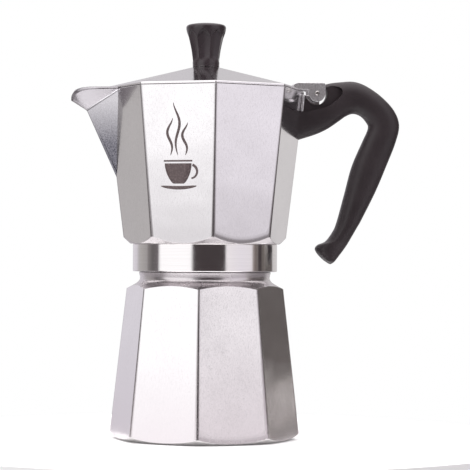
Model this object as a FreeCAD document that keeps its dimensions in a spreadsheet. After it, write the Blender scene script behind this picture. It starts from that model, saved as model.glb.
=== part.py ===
"""Moka pot: a stove-top coffee maker in cast aluminium, modelled as separate pieces.

The origin is at the middle of the foot, +Z points up, +X towards the handle and -X towards the spout.
All sizes are in millimetres. The octagonal boiler stands a little turned against the octagonal collector,
as it does when the thread between them is tight.
"""
import FreeCAD, Part
import math
import os
import re

import Sketcher

DIMENSIONS = {
    # boiler, with a flat foot, eight flaring faces and a threaded neck
    "foot_radius": 57.4,
    "boiler_base_radius": 67.1,
    "boiler_rim_radius": 52.05,
    "boiler_wall": 3.5,
    "boiler_floor": 4.0,
    "boiler_twist": -9.8,
    "shoulder_height": 106.9,
    "collar_radius": 46.1,
    "collar_top": 116.5,
    "neck_root_radius": 44.4,
    "neck_bore_radius": 41.0,
    "neck_top": 129.0,
    # thread between boiler and collector
    "thread_pitch": 3.6,
    "thread_depth": 1.3,
    "thread_turns": 2.2,
    "thread_base_width": 1.7,
    "thread_crest_width": 0.7,
    "skirt_bore_radius": 46.2,
    "thread_start": 118.2,
    # funnel
    "funnel_flange_radius": 43.6,
    "funnel_flange_thickness": 1.1,
    "basket_radius": 40.2,
    "basket_wall": 1.0,
    "basket_floor": 94.0,
    "stem_radius": 5.0,
    "stem_bore_radius": 3.6,
    "stem_end": 9.0,
    "seat_gap": 0.1,
    # gasket and filter plate
    "gasket_radius": 45.7,
    "gasket_bore_radius": 36.6,
    "gasket_height": 3.5,
    "filter_thickness": 0.8,
    "filter_hole_radius": 0.75,
    # collector
    "skirt_radius": 50.4,
    "skirt_bottom": 116.8,
    "skirt_top": 136.2,
    "collector_base_radius": 56.8,
    "collector_rim_radius": 69.55,
    "collector_rim": 243.1,
    "collector_wall": 2.7,
    "collector_ceiling": 134.0,
    "collector_floor": 139.0,
    "column_root_radius": 8.0,
    "column_foot_radius": 9.5,
    "column_top_radius": 6.5,
    "column_top": 220.0,
    "column_wall": 2.2,
    # spout
    "spout_foot_height": 177.0,
    "spout_fold_reach": 83.1,
    "spout_fold_height": 228.4,
    "spout_tip_reach": 94.0,
    "spout_tip_height": 235.2,
    "spout_half_width": 17.4,
    "spout_root_reach": 62.1,
    "spout_wall": 2.0,
    # hinge
    "hinge_reach": 77.5,
    "hinge_height": 242.0,
    "hinge_pin_radius": 1.6,
    "hinge_pin_half_length": 8.9,
    "knuckle_radius": 4.0,
    "ear_radius": 5.95,
    "ear_inside": 5.6,
    "ear_outside": 7.9,
    "hinge_rise": 7.3,
    "running_clearance": 0.05,
    # handle
    "handle_half_width": 9.0,
    "handle_front_half_width": 6.2,
    "web_half_width": 5.0,
    "lug_half_width": 2.0,
    "swing_radius": 7.9,
    "swing_floor": 240.1,
    "handle_pin_radius": 1.4,
    # lid and knob
    "lid_radius": 69.2,
    "lid_edge_bottom": 243.5,
    "lid_edge_top": 245.0,
    "lid_crown": 259.9,
    "lid_crown_radius": 8.0,
    "lid_boss_radius": 9.6,
    "knob_base": 260.5,
    "knob_base_radius": 9.2,
    "knob_radius": 14.0,
    "knob_rim": 286.9,
    "knob_top": 290.4,
    "insert_radius": 4.0,
    "screw_radius": 2.4,
    # safety valve
    "valve_height": 80.0,
    "valve_direction": 102.7,
    "valve_thread_radius": 5.0,
    "valve_flats": 12.0,
}

doc = FreeCAD.newDocument("MokaPot")
sheet = doc.addObject("Spreadsheet::Sheet", "Dimensions")
for row, (alias, value) in enumerate(DIMENSIONS.items(), start=1):
    sheet.set("A%d" % row, alias)
    sheet.set("B%d" % row, str(value))
    sheet.setAlias("B%d" % row, alias)
doc.recompute()

ALIAS = re.compile(r"\b(%s)\b" % "|".join(DIMENSIONS))
SIDES = 8
X, Y, Z = FreeCAD.Vector(1, 0, 0), FreeCAD.Vector(0, 1, 0), FreeCAD.Vector(0, 0, 1)
V = FreeCAD.Vector


def bound(formula):
    """A formula in the sheet's names, as an expression that other objects can hold."""
    return ALIAS.sub(r"Dimensions.\1", str(formula))


def size(alias):
    """A driving dimension's number, read back from the sheet."""
    return float(getattr(sheet, alias))


def origin_plane(body, role):
    """One of a body's three origin planes, by its role."""
    return next(item for item in body.Origin.OriginFeatures if item.Role == role)


def outline_sketch(body, name, role, corners):
    """A closed outline of straight lines, each corner held at the formulas given for it."""
    sketch = body.newObject("Sketcher::SketchObject", name)
    sketch.AttachmentSupport = [(origin_plane(body, role), "")]
    sketch.MapMode = "FlatFace"
    count = len(corners)
    ring = [
        V(10 + 5 * math.cos(math.tau * i / count), 10 + 5 * math.sin(math.tau * i / count), 0)
        for i in range(count)
    ]
    for i in range(count):
        sketch.addGeometry(Part.LineSegment(ring[i], ring[(i + 1) % count]), False)
    for i in range(count):
        sketch.addConstraint(Sketcher.Constraint("Coincident", i, 2, (i + 1) % count, 1))
    for i, corner in enumerate(corners):
        for kind, formula in zip(("DistanceX", "DistanceY"), corner):
            index = sketch.addConstraint(Sketcher.Constraint(kind, i, 1, 10.0))
            sketch.setExpression("Constraints[%d]" % index, bound(formula))
    return sketch


def turned(name, corners):
    """A body turned about the Z axis from an outline of (radius, height) corners."""
    body = doc.addObject("PartDesign::Body", name)
    sketch = outline_sketch(body, name + "_profile", "XZ_Plane", corners)
    spin = body.newObject("PartDesign::Revolution", name + "_turn")
    spin.Profile = sketch
    spin.ReferenceAxis = (sketch, ["V_Axis"])
    spin.Angle = 360
    sketch.Visibility = False
    return body


def octagon(name, sections):
    """A body lofted through eight-sided sections, each a (corner radius, height) pair of formulas."""
    body = doc.addObject("PartDesign::Body", name)
    sketches = []
    for number, (radius, height) in enumerate(sections):
        corners = []
        for i in range(SIDES):
            angle = 360 * i / SIDES
            corners.append(("(%s) * cos(%g deg)" % (radius, angle), "(%s) * sin(%g deg)" % (radius, angle)))
        sketch = outline_sketch(body, "%s_section%d" % (name, number), "XY_Plane", corners)
        sketch.setExpression("AttachmentOffset.Base.z", bound(height))
        sketches.append(sketch)
    loft = body.newObject("PartDesign::AdditiveLoft", name + "_loft")
    loft.Profile = sketches[0]
    loft.Sections = sketches[1:]
    loft.Ruled = True
    return body


def slab(name, role, corners, depth, centred=True):
    """A body padded from an outline, by default half to each side of its plane."""
    body = doc.addObject("PartDesign::Body", name)
    sketch = outline_sketch(body, name + "_outline", role, corners)
    pad = body.newObject("PartDesign::Pad", name + "_pad")
    pad.Profile = sketch
    pad.setExpression("Length", bound(depth))
    pad.Midplane = centred
    return body


def rod(name, radius, length, position=("0", "0", "0"), axis=Z, angle=0.0):
    """A Part cylinder with bound sizes and place."""
    item = doc.addObject("Part::Cylinder", name)
    item.setExpression("Radius", bound(radius))
    item.setExpression("Height", bound(length))
    item.Placement = FreeCAD.Placement(V(0, 0, 0), FreeCAD.Rotation(axis, angle))
    for letter, formula in zip("xyz", position):
        if formula != "0":
            item.setExpression("Placement.Base." + letter, bound(formula))
    return item


def cross_rod(name, radius, start, end, reach, height):
    """A cylinder along Y between two Y positions, at (reach, height) in the XZ plane."""
    return rod(name, radius, "(%s) - (%s)" % (end, start), (reach, start, height), X, -90)


def block(name, low, high):
    """A Part box between two corners given as formulas."""
    item = doc.addObject("Part::Box", name)
    for side, near, far in zip(("Length", "Width", "Height"), low, high):
        item.setExpression(side, bound("(%s) - (%s)" % (far, near)))
    for letter, formula in zip("xyz", low):
        item.setExpression("Placement.Base." + letter, bound(formula))
    return item


def fixed(name, shape):
    """A Part feature that holds a shape worked out with Part's own functions."""
    item = doc.addObject("Part::Feature", name)
    item.Shape = shape
    return item


def joined(name, items):
    """The union of several shapes."""
    item = doc.addObject("Part::MultiFuse", name)
    item.Shapes = items
    return item


def shared(name, items):
    """The space that several shapes have in common."""
    item = doc.addObject("Part::MultiCommon", name)
    item.Shapes = items
    return item


def without(name, base, tools):
    """One shape less all the tools."""
    item = doc.addObject("Part::Cut", name)
    item.Base = base
    item.Tool = tools[0] if len(tools) == 1 else joined(name + "_tools", tools)
    return item


def turn_about_z(item, formula):
    """Turn an object about the Z axis by a formula in degrees."""
    item.setExpression("Placement.Rotation.Angle", bound(formula))
    return item


# Thread ridges ---------------------------------------------------------------------------------------

def thread_ridge(name, wall_radius, height, outward):
    """A trapezium ridge swept along a helix; its root is sunk a little into the wall that carries it."""
    sunk = 0.25
    depth = size("thread_depth")
    base = size("thread_base_width") / 2
    crest = size("thread_crest_width") / 2
    side = 1 if outward else -1
    root = wall_radius - side * sunk
    tip = wall_radius + side * depth
    flare = base + (base - crest) * sunk / depth
    corners = [V(root, 0, -flare), V(tip, 0, -crest), V(tip, 0, crest), V(root, 0, flare)]
    profile = Part.makePolygon(corners + corners[:1])
    path = Part.makeHelix(size("thread_pitch"), size("thread_pitch") * size("thread_turns"), wall_radius)
    ridge = Part.Wire(path.Edges).makePipeShell([profile], True, True)
    ridge.translate(V(0, 0, height))
    return fixed(name, ridge)


# Boiler ----------------------------------------------------------------------------------------------

def make_boiler():
    """The water vessel: eight flaring faces on a flat foot, a turned shoulder and a threaded neck."""
    faces = octagon("boiler_faces", [("boiler_base_radius", "0"), ("boiler_rim_radius", "neck_top + 1")])
    turn_about_z(faces, "boiler_twist")
    outside = turned("boiler_outside", [
        ("0", "0"),
        ("foot_radius", "0"),
        ("foot_radius + 4.3", "1"),
        ("foot_radius + 9.5", "4.2"),
        ("foot_radius + 12", "9"),
        ("foot_radius + 12", "shoulder_height - 9"),
        ("collar_radius + 10", "shoulder_height - 2.7"),
        ("collar_radius + 4.8", "shoulder_height"),
        ("collar_radius + 1.4", "shoulder_height + 1.7"),
        ("collar_radius", "shoulder_height + 3.9"),
        ("collar_radius", "collar_top"),
        ("neck_root_radius", "collar_top"),
        ("neck_root_radius", "neck_top - 0.8"),
        ("neck_root_radius - 0.8", "neck_top"),
        ("0", "neck_top"),
    ])
    cavity = octagon("boiler_cavity", [
        ("boiler_base_radius - 0.5 - boiler_wall / cos(22.5 deg)", "boiler_floor"),
        ("boiler_rim_radius + 3.4 - boiler_wall / cos(22.5 deg)", "shoulder_height - 6.5"),
    ])
    turn_about_z(cavity, "boiler_twist")
    mouth = turned("boiler_mouth", [
        ("0", "shoulder_height - 8"),
        ("neck_bore_radius + 5.2", "shoulder_height - 8"),
        ("neck_bore_radius + 5.2", "shoulder_height - 6"),
        ("neck_bore_radius", "shoulder_height"),
        ("neck_bore_radius", "neck_top + 1"),
        ("0", "neck_top + 1"),
    ])
    ridge = thread_ridge("neck_thread", size("neck_root_radius"), size("thread_start"), True)
    hole = rod("valve_hole", "valve_thread_radius", "20")
    hole.Placement = valve_place(-12)
    solid = joined("boiler_solid", [shared("boiler_casting", [faces, outside]), ridge])
    return without("boiler", solid, [cavity, mouth, hole])


# Safety valve: modelled along +Z, then leant onto its boiler face --------------------------------------

def valve_place(along):
    """The valve's place, 'along' millimetres outwards from the boiler face along its normal."""
    fall = (size("boiler_base_radius") - size("boiler_rim_radius")) / (size("neck_top") + 1)
    flat = math.cos(math.pi / SIDES)
    lean = math.atan(fall * flat)
    height = size("valve_height")
    reach = (size("boiler_base_radius") - fall * height) * flat
    heading = math.radians(size("valve_direction"))
    out = V(math.cos(heading), math.sin(heading), 0)
    normal = out * math.cos(lean) + Z * math.sin(lean)
    return FreeCAD.Placement(out * reach + Z * height + normal * along, FreeCAD.Rotation(Z, normal))


def make_valve():
    """Hexagonal screwed body, washer, seat, spring and plunger."""
    shank = turned("valve_shank", [
        ("0", "-8"),
        ("valve_thread_radius", "-8"),
        ("valve_thread_radius", "1"),
        ("valve_flats / 2 + 1.2", "1"),
        ("valve_flats / 2 + 1.2", "2"),
        ("valve_flats / 2 - 0.4", "2"),
        ("valve_flats / 2 - 0.4", "6.5"),
        ("valve_flats / 2 - 2.4", "8"),
        ("0", "8"),
    ])
    corner = "valve_flats / 2 / cos(30 deg) * "
    hexagon = slab("valve_hexagon", "XY_Plane", [
        (corner + "cos(%d deg)" % angle, corner + "sin(%d deg)" % angle) for angle in range(0, 360, 60)
    ], "11.6")
    head = shared("valve_head", [
        hexagon,
        turned("valve_head_round", [
            ("0", "1.5"), ("7.4", "1.5"), ("7.4", "4.8"), ("6", "5.8"), ("0", "5.8"),
        ]),
    ])
    bore = turned("valve_bore", [("0", "-9"), ("3.2", "-9"), ("3.2", "6.6"), ("0", "6.6")])
    outlet = rod("valve_outlet", "1.25", "6", ("0", "0", "5"))
    body = without("valve_body", joined("valve_body_solid", [shank, head]), [bore, outlet])
    washer = turned("valve_washer", [
        ("valve_thread_radius", "0"), ("valve_flats / 2 + 1.4", "0"),
        ("valve_flats / 2 + 1.4", "1"), ("valve_thread_radius", "1"),
    ])
    seat = turned("valve_seat", [
        ("1.3", "-8"), ("3.2", "-8"), ("3.2", "-5"), ("2", "-5"), ("1.3", "-5.6"),
    ])
    plunger = turned("valve_plunger", [
        ("0", "-4.9"), ("2.4", "-4.9"), ("2.4", "-3.7"), ("1.9", "-3.7"), ("1.9", "-3.2"),
        ("1.15", "-3.2"), ("1.15", "9"), ("0.8", "9.6"), ("0", "9.6"),
    ])
    coil = Part.makeHelix(1.9, 9.5, 2.45)
    start = Part.Wire(Part.makeCircle(0.32, V(2.45, 0, 0), V(0, 1, 0)))
    spring = fixed("valve_spring", Part.Wire(coil.Edges).makePipeShell([start], True, True))
    pieces = [body, washer, seat, plunger]
    for piece in pieces:
        piece.Placement = valve_place(0)
    spring.Placement = valve_place(-3.3)
    return pieces + [spring]


# Funnel, perforated discs and gasket ---------------------------------------------------------------------

def make_funnel():
    """The funnel that holds the coffee, with its flange on the boiler's neck and its stem in the water."""
    seat = "neck_top + seat_gap"
    return turned("funnel", [
        ("stem_bore_radius", "stem_end"),
        ("stem_radius", "stem_end"),
        ("stem_radius", "basket_floor - 10"),
        ("basket_radius - 3", "basket_floor - 1"),
        ("basket_radius", "basket_floor + 1"),
        ("basket_radius", seat),
        ("funnel_flange_radius", seat),
        ("funnel_flange_radius", seat + " + funnel_flange_thickness"),
        ("basket_radius - basket_wall", seat + " + funnel_flange_thickness"),
        ("basket_radius - basket_wall", "basket_floor + 1.6"),
        ("basket_radius - 3.6", "basket_floor + 0.1"),
        ("stem_bore_radius", "basket_floor - 8.8"),
    ])


def perforated(name, corners, low, rings):
    """A turned disc with rings of drilled holes."""
    blank = turned(name + "_blank", corners)
    drills = []
    for ring, (count, radius) in enumerate(rings):
        for i in range(count):
            angle = math.tau * (i + 0.5 * (ring % 2)) / count
            drills.append(Part.makeCylinder(
                size("filter_hole_radius"), 6, V(radius * math.cos(angle), radius * math.sin(angle), low)
            ))
    return without(name, blank, [fixed(name + "_holes", Part.makeCompound(drills))])


HOLE_RINGS = [(6 * step, 5.6 * step) for step in range(1, 7)]


def make_filters():
    """The funnel's perforated disc, the gasket, and the perforated plate that sits in the gasket."""
    floor = size("basket_floor")
    disc = perforated("funnel_disc", [
        ("0", "basket_floor + 2.4"),
        ("basket_radius - basket_wall", "basket_floor + 2.4"),
        ("basket_radius - basket_wall", "basket_floor + 2.4 + filter_thickness"),
        ("0", "basket_floor + 2.4 + filter_thickness"),
    ], floor, HOLE_RINGS)
    low = "neck_top + funnel_flange_thickness + 2 * seat_gap"
    gasket = turned("gasket", [
        ("gasket_bore_radius", low),
        ("gasket_radius", low),
        ("gasket_radius", low + " + gasket_height"),
        ("gasket_bore_radius", low + " + gasket_height"),
    ])
    plate = perforated("filter_plate", [
        ("0", low + " + 1.2"),
        ("gasket_bore_radius - 2", low + " + 1.2"),
        ("gasket_bore_radius - 2", low + " + 0.2"),
        ("gasket_bore_radius", low + " + 0.2"),
        ("gasket_bore_radius", low + " + 1.2 + filter_thickness"),
        ("0", low + " + 1.2 + filter_thickness"),
    ], size("neck_top"), HOLE_RINGS)
    return [disc, gasket, plate]


# Collector with skirt, spout and hinge lug --------------------------------------------------------------

def spout_solid(inset):
    """The V-shaped spout with its flared lip, as a closed solid of flat facets.

    Each half has a flat cheek from the foot to the fold, and a lip that is ruled from the fold line to an
    edge curve; the edge reaches out to the tip and drops towards it like a quarter of an ellipse. With an
    inset the form shrinks by that wall and rises past the rim, which makes the channel.
    """
    steps = 6
    straight = 0.35
    back = 20.0
    rim = size("collector_rim")
    foot = V(-(size("collector_base_radius") + 3), 0, size("spout_foot_height") + 2.6 * inset)
    fold = V(-(size("spout_fold_reach") - 1.25 * inset), 0, size("spout_fold_height") + 0.4 * inset)
    tip = V(-(size("spout_tip_reach") - 0.9 * inset), 0, size("spout_tip_height") + 0.75 * inset)
    root = V(-size("spout_root_reach"), size("spout_half_width") - 1.15 * inset, rim - 1.2)
    edge_top = rim - 0.6 + 0.5 * inset
    sky = rim + 3

    def column(side, step):
        """Fold point and edge point at one step along the spout, and for the channel a point above them."""
        share = step / steps
        inner = root + (fold - root) * share
        swing = math.pi / 2 * share
        width = (root.y + 1.2) * math.cos(swing) ** 0.8
        reach = root.x + (tip.x - root.x) * math.sin(swing)
        bend = max(0.0, share - straight) / (1 - straight)
        height = edge_top - (edge_top - tip.z) * (1 - math.sqrt(1 - bend ** 2))
        points = [V(inner.x, side * inner.y, inner.z), V(reach, side * width, height)]
        return points + [V(reach, side * width, sky)] if inset else points

    faces = []

    def facet(*corners):
        distinct = [c for i, c in enumerate(corners) if (c - corners[i - 1]).Length > 1e-6]
        if len(distinct) > 2:
            faces.append(Part.Face(Part.makePolygon(distinct + distinct[:1])))

    hub_low = foot + X * back
    hub_top = V(root.x + back, 0, sky if inset else edge_top)
    for side in (1, -1):
        columns = [column(side, step) for step in range(steps + 1)]
        for here, ahead in zip(columns, columns[1:]):
            facet(foot, here[0], ahead[0])
            for low in range(len(here) - 1):
                facet(here[low], here[low + 1], ahead[low + 1])
                facet(here[low], ahead[low + 1], ahead[low])
            facet(hub_top, here[-1], ahead[-1])
        first = columns[0]
        facet(hub_low, foot, first[0])
        for low in range(len(first) - 1):
            facet(hub_low, first[low], first[low + 1])
        facet(hub_low, first[-1], hub_top)
    shell = Part.makeShell(faces)
    shell.sewShape()
    solid = Part.makeSolid(shell)
    if solid.Volume < 0:
        solid.reverse()
    return solid


def make_collector_outside():
    """The casting's outer form: flaring octagon, turned chamfer, skirt, spout and hinge lug."""
    faces = octagon("collector_faces", [
        ("collector_base_radius", "skirt_top"),
        ("collector_rim_radius", "collector_rim"),
    ])
    chamfer = turned("collector_chamfer", [
        ("0", "skirt_top - 0.2"),
        ("skirt_radius + 1.8", "skirt_top - 0.2"),
        ("skirt_radius + 7.2", "skirt_top + 4.8"),
        ("skirt_radius + 30", "skirt_top + 26"),
        ("skirt_radius + 30", "collector_rim + 1"),
        ("0", "collector_rim + 1"),
    ])
    skirt = turned("collector_skirt", [
        ("0", "skirt_bottom"),
        ("skirt_radius - 0.6", "skirt_bottom"),
        ("skirt_radius", "skirt_bottom + 0.6"),
        ("skirt_radius", "skirt_top - 0.8"),
        ("skirt_radius - 0.5", "skirt_top + 0.6"),
        ("0", "skirt_top + 0.6"),
    ])
    neck = slab("lug_neck", "XZ_Plane", [
        ("hinge_reach - 17", "hinge_height - 15.5"),
        ("hinge_reach - 1", "hinge_height - 15.5"),
        ("hinge_reach + 2.5", "hinge_height - 12"),
        ("hinge_reach + 2.5", "hinge_height - 2.5"),
        ("hinge_reach", "hinge_height"),
        ("hinge_reach - 3", "hinge_height"),
        ("hinge_reach - 8.5", "hinge_height - 0.6"),
        ("hinge_reach - 17", "hinge_height - 2"),
    ], "2 * lug_half_width")
    knuckle = cross_rod("lug_knuckle", "knuckle_radius", "-lug_half_width", "lug_half_width",
                        "hinge_reach", "hinge_height")
    spout = fixed("spout_outside", spout_solid(0.0))
    return joined("collector_outside", [
        shared("collector_casting", [faces, chamfer]), skirt, neck, knuckle, spout,
    ])


def make_collector(outside):
    """The upper vessel, hollowed and threaded, with the spout's channel and the holes for its pins."""
    vessel = octagon("collector_inside", [
        ("collector_base_radius + 0.33 - collector_wall / cos(22.5 deg)", "collector_floor"),
        ("collector_rim_radius + 0.12 - collector_wall / cos(22.5 deg)", "collector_rim + 1"),
    ])
    chamber = turned("collector_chamber", [
        ("0", "skirt_bottom - 1"),
        ("skirt_bore_radius", "skirt_bottom - 1"),
        ("skirt_bore_radius", "collector_ceiling"),
        ("0", "collector_ceiling"),
    ])
    column_hole = rod("column_hole", "column_root_radius", "10", ("0", "0", "collector_ceiling - 2"))
    channel = fixed("spout_inside", spout_solid(size("spout_wall")))
    pin_hole = cross_rod("lug_pin_hole", "hinge_pin_radius", "-20", "20", "hinge_reach", "hinge_height")
    peg_hole = cross_rod("lug_peg_hole", "handle_pin_radius", "-20", "20",
                         "hinge_reach - 3.5", "hinge_height - 11")
    ridge = thread_ridge("skirt_thread", size("skirt_bore_radius"),
                         size("thread_start") + size("thread_pitch") / 2, False)
    threaded_chamber = without("collector_threaded_chamber", chamber, [ridge])
    hollowed = without("collector_hollowed", outside, [vessel, column_hole, channel, pin_hole, peg_hole])
    return without("collector", hollowed, [threaded_chamber])


def make_column():
    """The riser column pressed into the collector's floor, with a capped top and two side ports."""
    tube = turned("column_tube", [
        ("column_root_radius - column_wall", "collector_ceiling"),
        ("column_root_radius", "collector_ceiling"),
        ("column_root_radius", "collector_floor"),
        ("column_foot_radius", "collector_floor"),
        ("column_foot_radius", "collector_floor + 2"),
        ("column_foot_radius - 1", "collector_floor + 4"),
        ("column_top_radius", "column_top - 3"),
        ("column_top_radius - 2", "column_top - 0.6"),
        ("0", "column_top"),
        ("0", "column_top - 2.4"),
        ("column_top_radius - column_wall", "column_top - 4"),
    ])
    ports = cross_rod("column_ports", "2.2", "-20", "20", "0", "column_top - 8.5")
    return without("riser_column", tube, [ports])


# Handle and its pins ------------------------------------------------------------------------------------

def handle_outline():
    """The handle seen from the side: a smooth outer sweep, a flared tail and a finger loop inside it."""
    outer = [V(84.2, 0, 248.8), V(95, 0, 250.5), V(104.5, 0, 250.9), V(113.4, 0, 247.9), V(124.2, 0, 240.6),
             V(133.3, 0, 230.9), V(137.1, 0, 220.5), V(135.1, 0, 210.3), V(128.7, 0, 193.3),
             V(120.3, 0, 173.4), V(110.4, 0, 153.6), V(99.8, 0, 135.2), V(93, 0, 126.2), V(88.8, 0, 122.4)]
    tail = [outer[-1], V(83.8, 0, 125.4), V(79.6, 0, 129.4), V(77.7, 0, 133.2), V(79.6, 0, 135.9),
            V(84.1, 0, 137.9), V(88.6, 0, 142.6), V(92.9, 0, 151.4), V(97.5, 0, 167.6), V(101.4, 0, 184.6),
            V(106.6, 0, 199.5), V(112.7, 0, 211.4), V(115, 0, 218), V(112.6, 0, 224), V(107, 0, 227.8),
            V(101.2, 0, 227.6), V(95.7, 0, 224), V(88.6, 0, 219.2), V(78, 0, 213.8), V(70.9, 0, 211),
            V(61, 0, 208.6)]
    front = [tail[-1], V(61, 0, 239), V(69, 0, 241.4), V(73.5, 0, 244.5), V(77.5, 0, 246.2),
             V(81, 0, 248.3), outer[0]]
    curves = []
    for points in (outer, tail):
        curve = Part.BSplineCurve()
        curve.interpolate(points)
        curves.append(curve.toShape())
    return Part.Wire(curves + Part.makePolygon(front).Edges)


def make_handle(collector_outside):
    """The moulded handle, recessed for the lid's ears, and the two pins that cross it."""
    half = size("handle_half_width")
    side_form = Part.Face(handle_outline()).extrude(Y * 2 * half)
    side_form.translate(Y * -half)
    grip = fixed("handle_side_form", side_form)
    plan = slab("handle_plan", "XY_Plane", [
        ("40", "-handle_front_half_width"),
        ("64", "-handle_front_half_width"),
        ("92", "-handle_half_width"),
        ("120", "-handle_half_width"),
        ("142", "1.5 - handle_half_width"),
        ("142", "handle_half_width - 1.5"),
        ("120", "handle_half_width"),
        ("92", "handle_half_width"),
        ("64", "handle_front_half_width"),
        ("40", "handle_front_half_width"),
    ], "600")
    blank = shared("handle_blank", [grip, plan])
    recess = [("50", "hinge_height - 14"), ("hinge_reach - 7", "hinge_height - 12.8"),
              ("hinge_reach + 7.5", "hinge_height - 9.8"), ("hinge_reach + 16.5", "hinge_height - 2.8"),
              ("hinge_reach + 18.6", "hinge_height + 1.6"), ("hinge_reach + 16.5", "hinge_height + 4.8"),
              ("hinge_reach + 7.9", "hinge_height + 5.8"), ("hinge_reach + 7.9", "hinge_height + 12"),
              ("50", "hinge_height + 12")]
    cheeks = slab("handle_recess", "XZ_Plane", recess, "40")
    web_room = block("web_room", ("40", "-web_half_width", "150"), ("120", "web_half_width", "260"))
    recess_cut = without("handle_recess_cut", cheeks, [web_room])
    swing = cross_rod("swing_room", "swing_radius", "-20", "20", "hinge_reach", "hinge_height")
    knuckle = cross_rod("handle_knuckle", "knuckle_radius", "-web_half_width", "web_half_width",
                        "hinge_reach", "hinge_height")
    web_below = block("handle_web_below", ("hinge_reach - 20", "-web_half_width", "swing_floor - 30"),
                      ("hinge_reach + 20", "web_half_width", "swing_floor"))
    swing_cut = without("handle_swing_cut", swing, [knuckle, web_below])
    pin_hole = cross_rod("handle_pin_hole", "hinge_pin_radius", "-20", "20", "hinge_reach", "hinge_height")
    peg_hole = cross_rod("handle_peg_hole", "handle_pin_radius", "-web_half_width + 0.8", "20",
                         "hinge_reach - 3.5", "hinge_height - 11")
    handle = without("handle", blank, [recess_cut, swing_cut, pin_hole, peg_hole, collector_outside])
    pin = turned("hinge_pin", [
        ("0", "-hinge_pin_half_length - 0.5"),
        ("hinge_pin_radius - 0.6", "-hinge_pin_half_length - 0.4"),
        ("hinge_pin_radius", "-hinge_pin_half_length + 0.2"),
        ("hinge_pin_radius", "hinge_pin_half_length - 0.2"),
        ("hinge_pin_radius - 0.6", "hinge_pin_half_length + 0.4"),
        ("0", "hinge_pin_half_length + 0.5"),
    ])
    pin.Placement = FreeCAD.Placement(V(0, 0, 0), FreeCAD.Rotation(X, -90))
    pin.setExpression("Placement.Base.x", bound("hinge_reach"))
    pin.setExpression("Placement.Base.z", bound("hinge_height"))
    peg = cross_rod("handle_peg", "handle_pin_radius", "-web_half_width + 0.8", "web_half_width",
                    "hinge_reach - 3.5", "hinge_height - 11")
    return [handle, pin, peg]


# Lid, knob and the screw between them ----------------------------------------------------------------------

def make_lid():
    """The eight-sided lid with its boss, and the two rails and cross bar that make its hinge."""
    top = octagon("lid_top", [
        ("lid_radius", "lid_edge_bottom"),
        ("lid_radius", "lid_edge_top"),
        ("lid_crown_radius", "lid_crown"),
    ])
    slope = "(lid_crown - lid_edge_top) / (lid_radius - lid_crown_radius)"
    hollow = octagon("lid_hollow", [
        ("lid_radius - 2.6", "lid_edge_bottom - 0.1"),
        ("lid_crown_radius", "lid_edge_bottom - 0.1 + (lid_radius - 2.6 - lid_crown_radius) * %s" % slope),
    ])
    boss = turned("lid_boss", [
        ("0", "knob_base - 3"), ("lid_boss_radius", "knob_base - 3"), ("lid_boss_radius", "knob_base - 0.3"),
        ("lid_boss_radius - 0.3", "knob_base"), ("0", "knob_base"),
    ])
    root = block("hinge_root", ("lid_radius - 9", "-ear_outside", "lid_edge_bottom + 0.6"),
                 ("lid_radius - 3.2", "ear_outside", "hinge_height + hinge_rise"))
    bar = block("hinge_bar", ("hinge_reach - 2.5", "-ear_outside", "hinge_height + 4.7"),
                ("hinge_reach", "ear_outside", "hinge_height + hinge_rise - 0.2"))
    ears = []
    for name, low, high in (("near", "-ear_outside", "-ear_inside"), ("far", "ear_inside", "ear_outside")):
        ears.append(block("hinge_rail_" + name, ("lid_radius - 9", low, "lid_edge_bottom + 0.6"),
                          ("hinge_reach - ear_radius + 0.1", high, "hinge_height + hinge_rise")))
        ears.append(cross_rod("ear_round_" + name, "ear_radius", low, high, "hinge_reach", "hinge_height"))
        ears.append(block("ear_cheek_" + name, ("hinge_reach - ear_radius", low, "hinge_height"),
                          ("hinge_reach + ear_radius", high, "hinge_height + hinge_rise")))
    screw_hole = rod("lid_screw_hole", "screw_radius + 0.2", "30", ("0", "0", "lid_crown - 20"))
    pin_hole = cross_rod("ear_pin_hole", "hinge_pin_radius + running_clearance", "-20", "20",
                         "hinge_reach", "hinge_height")
    shell = without("lid_shell", joined("lid_blank", [top, root, boss]), [hollow])
    return without("lid", joined("lid_solid", [shell, bar] + ears), [screw_hole, pin_hole])


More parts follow.
